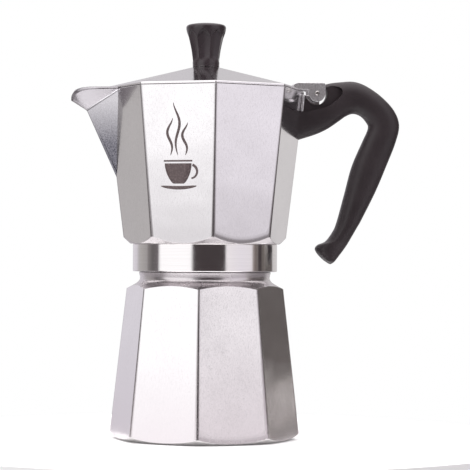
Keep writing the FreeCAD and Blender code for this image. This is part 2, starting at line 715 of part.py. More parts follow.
def make_knob():
    """The fluted knob, its brass insert, and the washer and screw that hold it from below."""
    blank = turned("knob_blank", [
        ("0", "knob_base"),
        ("knob_base_radius", "knob_base"),
        ("knob_base_radius + 0.35", "knob_base + 4.3"),
        ("knob_base_radius + 1.3", "knob_base + 11.3"),
        ("knob_base_radius + 2.9", "knob_base + 18.3"),
        ("knob_radius - 0.6", "knob_rim - 3"),
        ("knob_radius", "knob_rim"),
        ("knob_radius - 0.8", "knob_rim + 1.8"),
        ("knob_radius - 5.5", "knob_top - 0.5"),
        ("0", "knob_top"),
    ])
    flutes = []
    lean = math.degrees(math.atan2(3.2, 19.0))
    radius = 7.0
    for i in range(SIDES):
        angle = 360 / SIDES * (i + 0.5)
        flute = Part.makeCylinder(radius, 19)
        flute.rotate(V(0, 0, 0), Y, lean)
        flute.translate(V(size("knob_base_radius") + radius - 0.6, 0, size("knob_base") + 3.2))
        flute.rotate(V(0, 0, 0), Z, angle)
        flutes.append(flute)
    socket = rod("knob_socket", "insert_radius", "13", ("0", "0", "knob_base - 1"))
    knob = without("knob", blank, [fixed("knob_flutes", Part.makeCompound(flutes)), socket])
    insert = turned("knob_insert", [
        ("screw_radius", "knob_base"), ("insert_radius", "knob_base"),
        ("insert_radius", "knob_base + 11.5"), ("screw_radius", "knob_base + 11.5"),
    ])
    under = "knob_base - 3.2"
    washer = turned("knob_washer", [
        ("screw_radius + 0.2", under + " - 0.9"), ("7", under + " - 0.9"), ("7", under),
        ("screw_radius + 0.2", under),
    ])
    screw = turned("knob_screw", [
        ("0", under + " - 3.6"),
        ("3.2", under + " - 3.6"),
        ("4.6", under + " - 2.4"),
        ("4.6", under + " - 0.9"),
        ("screw_radius", under + " - 0.9"),
        ("screw_radius", "knob_base + 9.5"),
        ("screw_radius - 0.8", "knob_base + 10.3"),
        ("0", "knob_base + 10.3"),
    ])
    slot = block("screw_slot", ("-5", "-0.6", under + " - 4"), ("5", "0.6", under + " - 2.4"))
    screw.Label = "knob_screw_blank"
    driven = without("knob_screw_cut", screw, [slot])
    driven.Label = "knob_screw"
    return [knob, insert, washer, driven]


outside = make_collector_outside()
pieces = [make_boiler(), make_funnel(), make_collector(outside), make_column(), make_lid()]
pieces += make_valve() + make_filters() + make_handle(outside) + make_knob()
doc.recompute()

failed = [item.Name for item in doc.Objects if "Invalid" in item.State or "Error" in item.State]
if failed:
    raise SystemExit("failed features: " + ", ".join(failed))
os.makedirs("parts", exist_ok=True)
for piece in pieces:
    if piece.Shape.isNull() or not piece.Shape.isValid():
        raise SystemExit("bad shape: " + piece.Label)
    piece.Shape.exportStep("parts/%s.step" % piece.Label)
    print("%-16s solids %d  volume %9.1f mm3" % (piece.Label, len(piece.Shape.Solids), piece.Shape.Volume))
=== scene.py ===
"""Moka pot: the visual model of a stove-top coffee maker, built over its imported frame.

Sizes are in millimetres and become metres as a mesh is made. +Z points up, +X towards the handle and
-X towards the spout. Each sub-assembly is a class that holds its sizes and builds its own pieces.
"""

import logging
import math
from dataclasses import dataclass
from enum import Enum

import bmesh
import bpy
import numpy as np
from mathutils import Matrix

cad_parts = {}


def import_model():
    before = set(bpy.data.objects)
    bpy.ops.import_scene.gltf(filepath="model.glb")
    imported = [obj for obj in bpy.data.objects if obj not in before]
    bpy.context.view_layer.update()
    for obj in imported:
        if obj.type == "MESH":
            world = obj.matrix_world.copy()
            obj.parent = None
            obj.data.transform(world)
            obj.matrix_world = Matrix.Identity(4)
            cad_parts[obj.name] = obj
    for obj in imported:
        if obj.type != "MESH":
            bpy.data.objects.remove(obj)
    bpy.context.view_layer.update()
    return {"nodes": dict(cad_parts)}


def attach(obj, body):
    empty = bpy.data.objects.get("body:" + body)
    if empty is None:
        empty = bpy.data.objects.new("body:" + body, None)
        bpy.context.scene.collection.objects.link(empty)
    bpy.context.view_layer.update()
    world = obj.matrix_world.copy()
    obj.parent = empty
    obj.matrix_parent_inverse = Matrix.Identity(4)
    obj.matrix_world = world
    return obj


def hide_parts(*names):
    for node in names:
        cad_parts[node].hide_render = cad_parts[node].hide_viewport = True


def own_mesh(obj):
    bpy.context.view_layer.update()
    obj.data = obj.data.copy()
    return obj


Array = np.ndarray
Material = bpy.types.Material
Piece = bpy.types.Object
Socket = bpy.types.NodeSocket
Triple = tuple[float, float, float]

LOG = logging.getLogger("moka_pot")
MM = 0.001
HALF_SIDE = math.pi / 8
MIDWAY_RADIUS = 60.0
THREAD_STEP = 0.3
SHELL_CREASE = 15.0
# Crease weights: a crease is made rougher and painted with a dark reflection line, by these amounts.
STRONG_WEAR_AND_SHADE, FAINT_WEAR_AND_SHADE = 1.6, 0.35
LOWER_FADE, UPPER_FADE = 0.028, 0.012
UPPER_WEAR_AND_SHADE = 0.3


class Body(Enum):
    """The moving bodies of the frame that pieces ride on."""

    BOILER = "boiler"
    PLUNGER = "plunger"
    FUNNEL = "funnel"
    FILTER = "filter"
    COLLECTOR = "collector"
    LID = "lid"


class Slot(Enum):
    """The material slots of the record."""

    CAST = "cast_aluminium"
    POLISHED = "polished_aluminium"
    SPUN = "spun_aluminium"
    RUBBER = "seal_rubber"
    PLASTIC = "black_plastic"
    STEEL = "steel"
    BRASS = "brass"


# Meshes ------------------------------------------------------------------------------------------------


def sheet_faces(rows: int, columns: int, wrap_rows: bool, wrap_columns: bool) -> Array:
    """Quads of a grid of points: each joins a point to its next column and next row.

    Args:
        rows: Number of rows of points.
        columns: Number of columns of points.
        wrap_rows: Whether the last row joins the first.
        wrap_columns: Whether the last column joins the first.

    Returns:
        Point indices, one row of four for each quad, in row order.
    """
    row = np.arange(rows if wrap_rows else rows - 1)[:, None]
    column = np.arange(columns if wrap_columns else columns - 1)[None, :]
    next_row = (row + 1) % rows
    next_column = (column + 1) % columns
    corners = [row * columns + column, row * columns + next_column,
               next_row * columns + next_column, next_row * columns + column]
    return np.stack(corners, axis=-1).reshape(-1, 4)


def softened(points: Array, passes: int) -> Array:
    """Cuts the corners of a polyline: each pass replaces a run by its points at 1/4 and 3/4 of the way.

    Args:
        points: Corner points, one row each.
        passes: How many times the corners are cut.

    Returns:
        The smoother polyline, with the same two ends.
    """
    line = np.asarray(points, dtype=float)
    for _ in range(passes):
        near = 0.75 * line[:-1] + 0.25 * line[1:]
        far = 0.25 * line[:-1] + 0.75 * line[1:]
        middle = np.stack([near, far], axis=1).reshape(-1, line.shape[1])
        line = np.concatenate([line[:1], middle, line[-1:]])
    return line


def smooth_path(points: Array, count: int) -> Array:
    """A Catmull-Rom curve through the points, as count points at even steps of its parameter.

    Each span is the cubic (2b + (c-a)t + (2a-5b+4c-d)t^2 + (3b-a-3c+d)t^3) / 2 of its four neighbours.

    Args:
        points: The points that the curve passes through, one row each.
        count: How many points to return.

    Returns:
        The points along the curve.
    """
    line = np.asarray(points, dtype=float)
    padded = np.concatenate([2 * line[:1] - line[1:2], line, 2 * line[-1:] - line[-2:-1]])
    at = np.linspace(0.0, len(line) - 1.0, count)
    span = np.minimum(at.astype(int), len(line) - 2)
    t = (at - span)[:, None]
    a, b, c, d = (padded[span + k] for k in range(4))
    return 0.5 * (2 * b + (c - a) * t + (2 * a - 5 * b + 4 * c - d) * t**2 + (3 * b - a - 3 * c + d) * t**3)


def smoothstep(value: Array) -> Array:
    """Eases 0 to 1 with level ends: 3v^2 - 2v^3 of the value held between 0 and 1."""
    held = np.clip(value, 0.0, 1.0)
    return held * held * (3.0 - 2.0 * held)


def ring_points(radius: Array, theta: Array, height: Array) -> Array:
    """Points at radius and height along each direction: (r cos, r sin, z), broadcast together.

    Args:
        radius: Distances from the axis.
        theta: Directions from the axis.
        height: Heights.

    Returns:
        The points, with (x, y, z) on the last axis.
    """
    radius, theta, height = np.broadcast_arrays(radius, theta, height)
    return np.stack([radius * np.cos(theta), radius * np.sin(theta), height], axis=-1)


def level_rings(rows: list[tuple[float, float]], theta: Array) -> Array:
    """Level rings of points from a turned profile.

    Args:
        rows: The profile as (radius, height) rows.
        theta: Direction of each column.

    Returns:
        Points shaped (rows, columns, 3).
    """
    table = np.array(rows)
    return ring_points(table[:, :1], theta[None], table[:, 1:])


def turned_wall(profile: Array, height: Array, theta: Array) -> Array:
    """Points of a turned profile at each column's own heights.

    Args:
        profile: The profile as (radius, height) rows that rise.
        height: Heights shaped (rows, columns).
        theta: Direction of each column.

    Returns:
        Points shaped (rows, columns, 3).
    """
    return ring_points(np.interp(height, profile[:, 1], profile[:, 0]), theta[None], height)


def placed(name: str, data: bpy.types.ID) -> Piece:
    """Links a new object to the scene.

    Args:
        name: The object's name.
        data: The mesh, light or camera that it holds.

    Returns:
        The object.
    """
    piece = bpy.data.objects.new(name, data)
    bpy.context.scene.collection.objects.link(piece)
    return piece


def read_rows(items: bpy.types.bpy_prop_collection, name: str) -> Array:
    """Reads a three-number property of all a mesh's items.

    Args:
        items: The mesh's points or faces.
        name: The property's name.

    Returns:
        One row for each item.
    """
    values = np.empty(len(items) * 3)
    items.foreach_get(name, values)
    return values.reshape(-1, 3)


def face_towards(mesh: bpy.types.Mesh, direction: Triple) -> None:
    """Flips the mesh if its faces look away from a direction on average.

    Args:
        mesh: The mesh to turn.
        direction: Where its faces should look.
    """
    if float((read_rows(mesh.polygons, "normal") @ np.array(direction)).mean()) < 0:
        mesh.flip_normals()


def finish_mesh(mesh: bpy.types.Mesh, crease_degrees: float, turn_outwards: bool = True) -> None:
    """Merges doubled points, turns the faces outwards and shades the mesh smooth between its creases.

    Args:
        mesh: The mesh to finish.
        crease_degrees: Edges that bend more than this stay sharp.
        turn_outwards: Whether the faces' directions are worked out again.
    """
    work = bmesh.new()
    work.from_mesh(mesh)
    bmesh.ops.remove_doubles(work, verts=work.verts, dist=2e-6)
    bmesh.ops.dissolve_degenerate(work, edges=work.edges, dist=1e-7)
    if turn_outwards:
        bmesh.ops.recalc_face_normals(work, faces=work.faces)
    work.to_mesh(mesh)
    work.free()
    mesh.shade_smooth()
    mesh.set_sharp_from_angle(angle=math.radians(crease_degrees))
    mesh.update()


@dataclass
class Surface:
    """A grid of points in millimetres, with what each row and point carries."""

    points: Array
    wrap_rows: bool = False
    wrap_columns: bool = True
    row_finish: Array | None = None
    edge: Array | None = None

    def build(self, name: str, finishes: list[Material], crease_degrees: float = 30.0) -> Piece:
        """Makes the object, welded and shaded.

        Args:
            name: The object's name.
            finishes: Materials, in the order that row_finish counts them.
            crease_degrees: Edges that bend more than this stay sharp.

        Returns:
            The linked object.
        """
        rows, columns = self.points.shape[:2]
        faces = sheet_faces(rows, columns, self.wrap_rows, self.wrap_columns)
        mesh = bpy.data.meshes.new(name)
        mesh.from_pydata((self.points.reshape(-1, 3) * MM).tolist(), [], faces.tolist())
        for finish in finishes:
            mesh.materials.append(finish)
        if self.row_finish is not None:
            columns_of_faces = columns if self.wrap_columns else columns - 1
            index = np.repeat(self.row_finish[: len(faces) // columns_of_faces], columns_of_faces)
            mesh.polygons.foreach_set("material_index", index.astype(np.int32))
        if self.edge is not None:
            layer = mesh.attributes.new("edge", "FLOAT", "POINT")
            layer.data.foreach_set("value", self.edge.astype(np.float32).ravel())
        finish_mesh(mesh, crease_degrees)
        return placed(name, mesh)


def banded(bands: list[tuple[Array, int, Array | float]], wrap_rows: bool = False) -> Surface:
    """Stacks bands of rows into one surface.

    Args:
        bands: Points, finish number and edge weight of each band, in row order; the weight makes an edge
            rougher and paints a dark reflection on it.
        wrap_rows: Whether the last row joins the first.

    Returns:
        The surface.
    """
    return Surface(
        np.concatenate([points for points, _, _ in bands]),
        wrap_rows=wrap_rows,
        row_finish=np.concatenate([np.full(len(points), kind) for points, kind, _ in bands]),
        edge=np.concatenate([np.broadcast_to(wear_and_shade, points.shape[:2]) for points, _, wear_and_shade in bands]),
    )


def extruded(name: str, outline: Array, low: float, high: float, finish: Material, bevel: float) -> Piece:
    """A plate cut from a side outline (x, z) and carried along Y from low to high, with rounded edges.

    Args:
        name: The object's name.
        outline: Outline points, one (x, z) row each.
        low: Lowest Y.
        high: Highest Y.
        finish: The plate's material.
        bevel: Radius of the rounded edges.

    Returns:
        The linked object.
    """
    count = len(outline)
    sides = [np.insert(outline, 1, level, axis=1) for level in (low, high)]
    walls = sheet_faces(2, count, False, True)
    mesh = bpy.data.meshes.new(name)
    caps = [list(range(count)), list(range(2 * count - 1, count - 1, -1))]
    mesh.from_pydata((np.concatenate(sides) * MM).tolist(), [], walls.tolist() + caps)
    mesh.materials.append(finish)
    finish_mesh(mesh, 30.0)
    piece = placed(name, mesh)
    if bevel:
        rounding = piece.modifiers.new("rounding", "BEVEL")
        rounding.width = bevel * MM
        rounding.segments = 3
        rounding.limit_method = "ANGLE"
        rounding.angle_limit = math.radians(30)
        rounding.harden_normals = True
    return piece


def arc(centre: tuple[float, float], radius: float, start: float, end: float, steps: int) -> Array:
    """Points of a circular arc: centre plus radius times (cos, sin).

    Args:
        centre: The arc's centre.
        radius: Its radius.
        start: First angle in degrees.
        end: Last angle in degrees.
        steps: Number of points.

    Returns:
        The points, one row each.
    """
    angle = np.radians(np.linspace(start, end, steps))
    return np.stack([centre[0] + radius * np.cos(angle), centre[1] + radius * np.sin(angle)], axis=1)


def settle(piece: Piece, body: Body, slot: Slot, *nodes: str) -> Piece:
    """Puts a finished piece on its body, stands it for CAD nodes and reports it.

    Args:
        piece: The finished piece.
        body: The body it rides on.
        slot: The record's material slot; not used.
        nodes: The CAD nodes that it replaces.

    Returns:
        The same piece.
    """
    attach(piece, body.value)
    if nodes:
        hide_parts(*nodes)
    LOG.info("%-22s on %-9s %6d points", piece.name, body.value, len(piece.data.vertices))
    return piece


# Cross-sections ----------------------------------------------------------------------------------------


@dataclass(frozen=True)
class Octagon:
    """A round-cornered octagon whose points keep their places as it grows.

    Each point is offset + corner radius * direction, so a whole wall is one sum. The corners are arcs of
    the rounding radius about centres on the corner lines, and the flats run straight between the arcs.
    """

    rounding: float
    turned_by: float = 0.0
    arc_points: int = 5
    flat_steps: int = 17

    def parts(self) -> tuple[Array, Array, Array]:
        """The ring's offsets, directions and corner weights.

        Returns:
            Offsets and directions with one (x, y) row for each point, and a weight that is 1 on a corner
            arc and 0 on a flat.
        """
        corner = math.radians(self.turned_by) + np.arange(8)[:, None] * math.pi / 4
        swing = corner + np.linspace(-HALF_SIDE, HALF_SIDE, self.arc_points)[None, :]
        towards = np.stack([np.cos(corner), np.sin(corner)], axis=-1)
        around = np.stack([np.cos(swing), np.sin(swing)], axis=-1)
        arc_offset = self.rounding * (around - towards / math.cos(HALF_SIDE))
        arc_direction = np.broadcast_to(towards, around.shape)
        inner = np.arange(1, self.flat_steps) / self.flat_steps
        share = np.concatenate([[0.012], inner, [0.988]])[None, :, None]
        flat_offset = arc_offset[:, -1:] * (1 - share) + np.roll(arc_offset, -1, 0)[:, :1] * share
        flat_direction = arc_direction[:, -1:] * (1 - share) + np.roll(arc_direction, -1, 0)[:, :1] * share
        offset = np.concatenate([arc_offset, flat_offset], axis=1).reshape(-1, 2)
        direction = np.concatenate([arc_direction, flat_direction], axis=1).reshape(-1, 2)
        weight = np.zeros((8, self.arc_points + self.flat_steps + 1))
        weight[:, : self.arc_points] = 1.0
        weight[:, [self.arc_points, -1]] = 0.45
        return offset, direction, weight.ravel()

    def wall(self, corner_radius: Array, height: Array, growth: Array | float = 1.0) -> Array:
        """Points of a wall: the ring at each corner radius, at each height.

        Args:
            corner_radius: Corner radii, shaped (rows, columns) or (rows, 1).
            height: Heights of the same shape.
            growth: Factor on the corners' rounding, for all rows or shaped (rows, 1).

        Returns:
            Points shaped (rows, columns, 3).
        """
        offset, direction, _ = self.parts()
        corner_radius, height = np.broadcast_arrays(corner_radius, height)
        if corner_radius.shape[1] == 1:
            corner_radius = np.repeat(corner_radius, len(offset), axis=1)
            height = np.repeat(height, len(offset), axis=1)
        grown = np.broadcast_to(np.atleast_2d(growth), (len(height), 1))[..., None]
        flat = grown * offset[None] + corner_radius[..., None] * direction[None]
        return np.concatenate([flat, height[..., None]], axis=-1)

    def theta(self, corner_radius: float) -> Array:
        """Direction of each column from the axis, at one corner radius."""
        offset, direction, _ = self.parts()
        place = offset + corner_radius * direction
        return np.arctan2(place[:, 1], place[:, 0])

    def radius(self, corner_radius: Array) -> Array:
        """Distance of each column from the axis at its own corner radius."""
        offset, direction, _ = self.parts()
        return np.linalg.norm(offset + corner_radius[:, None] * direction, axis=1)


@dataclass(frozen=True)
class Taper:
    """A corner radius that changes in a straight line with height."""

    low: float
    high: float
    low_radius: float
    high_radius: float

    def at(self, height: Array) -> Array:
        """Corner radius at a height, on the straight line through both ends."""
        slope = (self.high_radius - self.low_radius) / (self.high - self.low)
        return self.low_radius + (np.asarray(height) - self.low) * slope


def face_wear_and_shade(theta: Array, twist: float) -> Array:
    """Wear and painted dark reflection on each column's lower crease: strong on the face beside the printed
    one and on the back faces.

    Args:
        theta: Direction of each column.
        twist: Degrees that the octagon is turned by.

    Returns:
        One weight for each column.
    """
    degrees = np.mod(np.degrees(theta) - twist, 360.0)
    # These faces get the stronger roughening and painted dark reflection on their lower crease.
    worn_and_shaded = ((degrees > 270.0) & (degrees < 315.0)) | (degrees < 180.0)
    return np.where(worn_and_shaded, STRONG_WEAR_AND_SHADE, FAINT_WEAR_AND_SHADE)


def crease_wear_and_shade(corner: Array, share: Array, low: Array | float, high: float) -> Array:
    """Wear and painted dark reflection of a wall's points: its corners' own, or what fades away from its
    lower and upper creases.

    Args:
        corner: Corner weight of each column.
        share: Each row's share of the wall's height.
        low: Wear and painted dark reflection on the lower crease, the same all round or one value for each
            column.
        high: Wear and painted dark reflection on the upper crease.

    Returns:
        Weights shaped (rows, columns).
    """
    rows = np.maximum(low * np.exp(-share / LOWER_FADE), high * np.exp(-(1 - share) / UPPER_FADE))
    return np.maximum(corner[None], np.broadcast_to(rows, (len(share), len(corner))))


def crease_height(octagon: Octagon, taper: Taper, profile: Array, low: float, high: float) -> Array:
    """Height at which each column of a flat-sided wall meets a turned profile, by halving the interval.

    Args:
        octagon: The wall's cross-section.
        taper: The wall's corner radius over height.
        profile: Turned profile as (radius, height) rows that rise.
        low: A height below every meeting point.
        high: A height above every meeting point.

    Returns:
        One height for each column.
    """
    count = len(octagon.theta(taper.low_radius))
    bottom, top = np.full(count, low), np.full(count, high)

    def gap(height: Array) -> Array:
        """How far the turned profile stands outside the wall."""
        return np.interp(height, profile[:, 1], profile[:, 0]) - octagon.radius(taper.at(height))

    rising = gap(bottom) < gap(top)
    for _ in range(40):
        middle = (bottom + top) / 2
        below = (gap(middle) < 0) == rising
        bottom, top = np.where(below, middle, bottom), np.where(below, top, middle)
    return (bottom + top) / 2


@dataclass(frozen=True)
class Thread:
    """The coarse screw thread between boiler and collector."""

    pitch: float = 3.6
    depth: float = 1.3
    turns: float = 2.2
    base_width: float = 1.7
    crest_width: float = 0.7

    def ridge(self, theta: Array, height: Array, start: float) -> Array:
        """Height of the ridge above its root: a trapezoid about the helix start + pitch * turns.

        Args:
            theta: Directions from the axis.
            height: Heights.
            start: Height at which the helix starts.

        Returns:
            The ridge's height at each point, with tapered ends.
        """
        turned = np.mod(theta, math.tau) / math.tau
        level = (height - start) / self.pitch - turned
        whole = np.round(level)
        away = np.abs(level - whole) * self.pitch
        flank = (self.base_width - self.crest_width) / 2
        rise = np.clip((self.base_width / 2 - away) / flank, 0.0, 1.0)
        travelled = whole + turned
        ends = smoothstep(travelled / 0.08) * smoothstep((self.turns - travelled) / 0.08)
        return self.depth * rise * ends


# Finishes ----------------------------------------------------------------------------------------------


class Nodes:
    """A node tree, with short calls that add, link and join its nodes."""

    def __init__(self, tree: bpy.types.NodeTree) -> None:
        """Takes the tree to work on."""
        self.tree = tree

    def add(self, kind: str, **settings: object) -> bpy.types.Node:
        """Adds a node and sets its properties.

        Args:
            kind: The node's type name.
            settings: Properties by name.

        Returns:
            The new node.
        """
        node = self.tree.nodes.new(kind)
        for name, value in settings.items():
            setattr(node, name, value)
        return node

    def link(self, source: Socket, target: Socket) -> None:
        """Links two sockets.

        Args:
            source: The output.
            target: The input.
        """
        self.tree.links.new(source, target)

    def remap(self, source: Socket, low: float, high: float, to_low: float,
              to_high: float) -> Socket:
        """Maps low..high to to_low..to_high, held at both ends.

        Args:
            source: The value to map.
            low: Value that maps to to_low.
            high: Value that maps to to_high.
            to_low: First result.
            to_high: Second result.

        Returns:
            The result's socket.
        """
        node = self.add("ShaderNodeMapRange", clamp=True)
        for socket, value in zip(node.inputs[1:5], (low, high, to_low, to_high)):
            socket.default_value = value
        self.link(source, node.inputs["Value"])
        return node.outputs["Result"]

    def blend(self, factor: Socket, first: Triple | Socket,
              second: Triple, kind: str = "MIX") -> Socket:
        """Mixes two colours.

        Args:
            factor: 0 gives the first, 1 the second.
            first: A colour or a colour socket.
            second: A colour.
            kind: How the second lies over the first.

        Returns:
            The mixed colour's socket.
        """
        node = self.add("ShaderNodeMix", data_type="RGBA", blend_type=kind)
        self.link(factor, node.inputs[0])
        if isinstance(first, tuple):
            node.inputs[6].default_value = (*first, 1.0)
        else:
            self.link(first, node.inputs[6])
        node.inputs[7].default_value = (*second, 1.0)
        return node.outputs[2]

    def join(self, first: Socket, second: Socket,
            operation: str = "ADD") -> Socket:
        """Joins two values with a math operation.

        Args:
            first: The first value.
            second: The second value.
            operation: The operation's name.

        Returns:
            The result's socket.
        """
        node = self.add("ShaderNodeMath", operation=operation)
        self.link(first, node.inputs[0])
        self.link(second, node.inputs[1])
        return node.outputs[0]


class NodeSheet(Nodes):
    """A material's nodes: its shader, its place on the piece, and the patterns laid over it."""

    def __init__(self, name: str) -> None:
        """Starts a material with only its shader and output."""
        self.material = bpy.data.materials.new(name)
        self.material.use_nodes = True
        super().__init__(self.material.node_tree)
        self.shader = self.tree.nodes["Principled BSDF"]
        self.place = self.add("ShaderNodeTexCoord").outputs["Object"]

    def fix(self, **values: object) -> None:
        """Sets the shader's own sockets; a name's underscores stand for spaces."""
        for name, value in values.items():
            self.shader.inputs[name.replace("_", " ")].default_value = value

    def paint(self, **sources: Socket) -> Material:
        """Links the shader's own sockets; a name's underscores stand for spaces.

        Args:
            sources: The value for each socket.

        Returns:
            The finished material.
        """
        for name, source in sources.items():
            self.link(source, self.shader.inputs[name.replace("_", " ")])
        return self.material

    def height(self) -> Socket:
        """Height above the foot, in metres."""
        split = self.add("ShaderNodeSeparateXYZ")
        self.link(self.place, split.inputs[0])
        return split.outputs["Z"]

    def noise(self, scale: float, stretch: Triple = (1, 1, 1), detail: float = 3.0,
              roughness: float = 0.5) -> Socket:
        """Fractal noise over Object coordinates.

        Args:
            scale: Cells in a metre.
            stretch: Factor on each axis before the scale.
            detail: Number of finer layers.
            roughness: Weight of the finer layers.

        Returns:
            The noise's factor socket.
        """
        mapping = self.add("ShaderNodeMapping")
        mapping.inputs["Scale"].default_value = stretch
        self.link(self.place, mapping.inputs["Vector"])
        noise = self.add("ShaderNodeTexNoise")
        noise.inputs["Scale"].default_value = scale
        noise.inputs["Detail"].default_value = detail
        noise.inputs["Roughness"].default_value = roughness
        self.link(mapping.outputs["Vector"], noise.inputs["Vector"])
        return noise.outputs["Fac"]

    def bump(self, height: Socket, distance: float, strength: float = 1.0,
             under: Socket | None = None) -> Socket:
        """Bends the normal by a height field.

        Args:
            height: The height field.
            distance: Height in metres of one unit.
            strength: Share of the full effect.
            under: A normal to start from.

        Returns:
            The bent normal's socket.
        """
        node = self.add("ShaderNodeBump")
        node.inputs["Distance"].default_value = distance
        node.inputs["Strength"].default_value = strength
        self.link(height, node.inputs["Height"])
        if under is not None:
            self.link(under, node.inputs["Normal"])
        return node.outputs["Normal"]

    def attribute(self, name: str) -> Socket:
        """A mesh attribute's value."""
        return self.add("ShaderNodeAttribute", attribute_name=name).outputs["Fac"]


@dataclass(frozen=True)
class PolishedCasting:
    """Cast aluminium, ground flat and buffed almost to a mirror, with dull hairlines, and dull edges painted
    with a dark reflection.
    """

    name: str = "polished_casting"
    colour: Triple = (0.90, 0.885, 0.895)
    shade: Triple = (0.79, 0.775, 0.785)
    # Dark colour of the hairlines, and of the painted dark reflection along the edges.
    hairline_and_painted_reflection_colour: Triple = (0.20, 0.18, 0.185)
    smoothest: float = 0.07
    roughest: float = 0.16
    # Height below which the colour turns darker and pinker towards the foot.
    darker_below: float | None = None

    def make(self) -> Material:
        """Builds the finish: cloudy polish, fine upright hairlines, pits and a dull edge line painted dark as
        a reflection.

        Returns:
            The material.
        """
        sheet = NodeSheet(self.name)
        sheet.fix(Metallic=1.0)
        cloud = sheet.noise(22.0, detail=4.0, roughness=0.55)
        hairline = sheet.noise(520.0, (7.0, 7.0, 0.11), detail=2.0)
        pit = sheet.remap(sheet.noise(2600.0, detail=1.0), 0.66, 0.72, 0.0, 1.0)
        edge = sheet.attribute("edge")
        tone = sheet.blend(sheet.remap(cloud, 0.35, 0.7, 0.0, 0.4), self.colour, self.shade)
        tone = sheet.blend(sheet.remap(hairline, 0.48, 0.72, 0.0, 0.13), tone, self.hairline_and_painted_reflection_colour)
        tone = sheet.blend(sheet.remap(pit, 0.0, 1.0, 0.0, 0.5), tone, (0.45, 0.44, 0.46))
        # Painted dark reflection: the colour turns dark along the edge weights.
        tone = sheet.blend(sheet.remap(edge, 0.35, 1.0, 0.0, 0.8), tone, self.hairline_and_painted_reflection_colour)
        # Darker, pinker colour towards the foot.
        if self.darker_below is not None:
            low = sheet.remap(sheet.height(), 0.0, self.darker_below, 0.75, 0.0)
            tone = sheet.blend(low, tone, (0.74, 0.685, 0.71))
        rough = sheet.remap(cloud, 0.3, 0.75, self.smoothest, self.roughest)
        lines = sheet.remap(hairline, 0.35, 0.7, -0.012, 0.035)
        rough = sheet.join(rough, lines)
        rough = sheet.join(rough, sheet.remap(edge, 0.2, 1.0, 0.0, 0.16))
        wave = sheet.bump(sheet.noise(38.0, detail=1.0), 0.00012)
        normal = sheet.bump(hairline, 0.0000008, under=wave)
        normal = sheet.bump(pit, 0.00002, 0.35, under=normal)
        return sheet.paint(Base_Color=tone, Roughness=rough, Normal=normal)


@dataclass(frozen=True)
class BlastedCasting:
    """Cast aluminium as it leaves the mould: grainy and bluish grey, with painted light over its upper part
    where set.
    """

    name: str
    colour: Triple
    shade: Triple
    roughness: float
    grain: float
    # Height above which light is painted into the colour.
    painted_light_above: float | None = None

    def make(self) -> Material:
        """Builds the finish: two sizes of grain, a slow cloud, edges painted with a dark reflection, and
        painted light up high.

        Returns:
            The material.
        """
        sheet = NodeSheet(self.name)
        sheet.fix(Metallic=1.0)
        grain = sheet.noise(1500.0, detail=4.0, roughness=0.65)
        coarse = sheet.noise(420.0, detail=2.0)
        cloud = sheet.noise(30.0, detail=3.0)
        tone = sheet.blend(sheet.remap(grain, 0.42, 0.62, 0.0, 1.0), self.colour, self.shade)
        tone = sheet.blend(sheet.remap(cloud, 0.45, 0.75, 0.0, 0.4), tone, self.shade)
        # Painted light: the colour turns bright above this height.
        if self.painted_light_above is not None:
            high = sheet.remap(sheet.height(), self.painted_light_above, self.painted_light_above + 0.030, 0.0, 0.92)
            tone = sheet.blend(high, tone, (0.90, 0.89, 0.92))
        # Painted dark reflection: the colour turns dark along the edge weights, on the spout its fold line
        # and keel.
        edge = sheet.remap(sheet.attribute("edge"), 0.3, 1.0, 0.0, 0.8)
        tone = sheet.blend(edge, tone, (0.12, 0.11, 0.12))
        rough = sheet.remap(grain, 0.3, 0.7, self.roughness - 0.08, self.roughness + 0.12)
        normal = sheet.bump(coarse, 0.00012, self.grain)
        normal = sheet.bump(grain, 0.00006, self.grain, under=normal)
        return sheet.paint(Base_Color=tone, Roughness=rough, Normal=normal)


@dataclass(frozen=True)
class TurnedMetal:
    """Metal turned on a lathe or spun: rings of fine lines round the upright axis."""

    name: str
    colour: Triple
    shade: Triple
    roughness: float
    line_depth: float

    def make(self) -> Material:
        """Builds the finish: noise squeezed along Z gives level rings, and a cloud gives uneven gloss from
        use.

        Returns:
            The material.
        """
        sheet = NodeSheet(self.name)
        sheet.fix(Metallic=1.0)
        rings = sheet.noise(2400.0, (0.004, 0.004, 1.0), detail=3.0, roughness=0.7)
        cloud = sheet.noise(60.0, detail=3.0)
        tone = sheet.blend(sheet.remap(rings, 0.35, 0.7, 0.0, 0.6), self.colour, self.shade)
        rough = sheet.remap(cloud, 0.35, 0.7, self.roughness - 0.03, self.roughness + 0.05)
        return sheet.paint(Base_Color=tone, Roughness=rough, Normal=sheet.bump(rings, self.line_depth))


@dataclass(frozen=True)
class MouldedPlastic:
    """Dark phenolic plastic: satin skin with a fine orange peel and a few paler flecks."""

    name: str
    colour: Triple
    fleck: Triple
    roughness: float

    def make(self) -> Material:
        """Builds the finish: peel in the normal, a cloud in the gloss and flecks in the colour.

        Returns:
            The material.
        """
        sheet = NodeSheet(self.name)
        sheet.fix(IOR=1.46, Coat_Weight=0.06, Coat_Roughness=0.34)
        cloud = sheet.noise(45.0, detail=4.0)
        peel = sheet.noise(900.0, detail=2.0)
        fleck = sheet.remap(sheet.noise(3200.0, detail=1.0), 0.62, 0.74, 0.0, 1.0)
        warm = tuple(channel * 1.35 for channel in self.colour)
        tone = sheet.blend(sheet.remap(cloud, 0.35, 0.7, 0.0, 1.0), self.colour, warm)
        tone = sheet.blend(sheet.remap(fleck, 0.0, 1.0, 0.0, 0.35), tone, self.fleck)
        rough = sheet.remap(cloud, 0.3, 0.75, self.roughness - 0.06, self.roughness + 0.08)
        return sheet.paint(Base_Color=tone, Roughness=rough, Normal=sheet.bump(peel, 0.000035, 0.6))


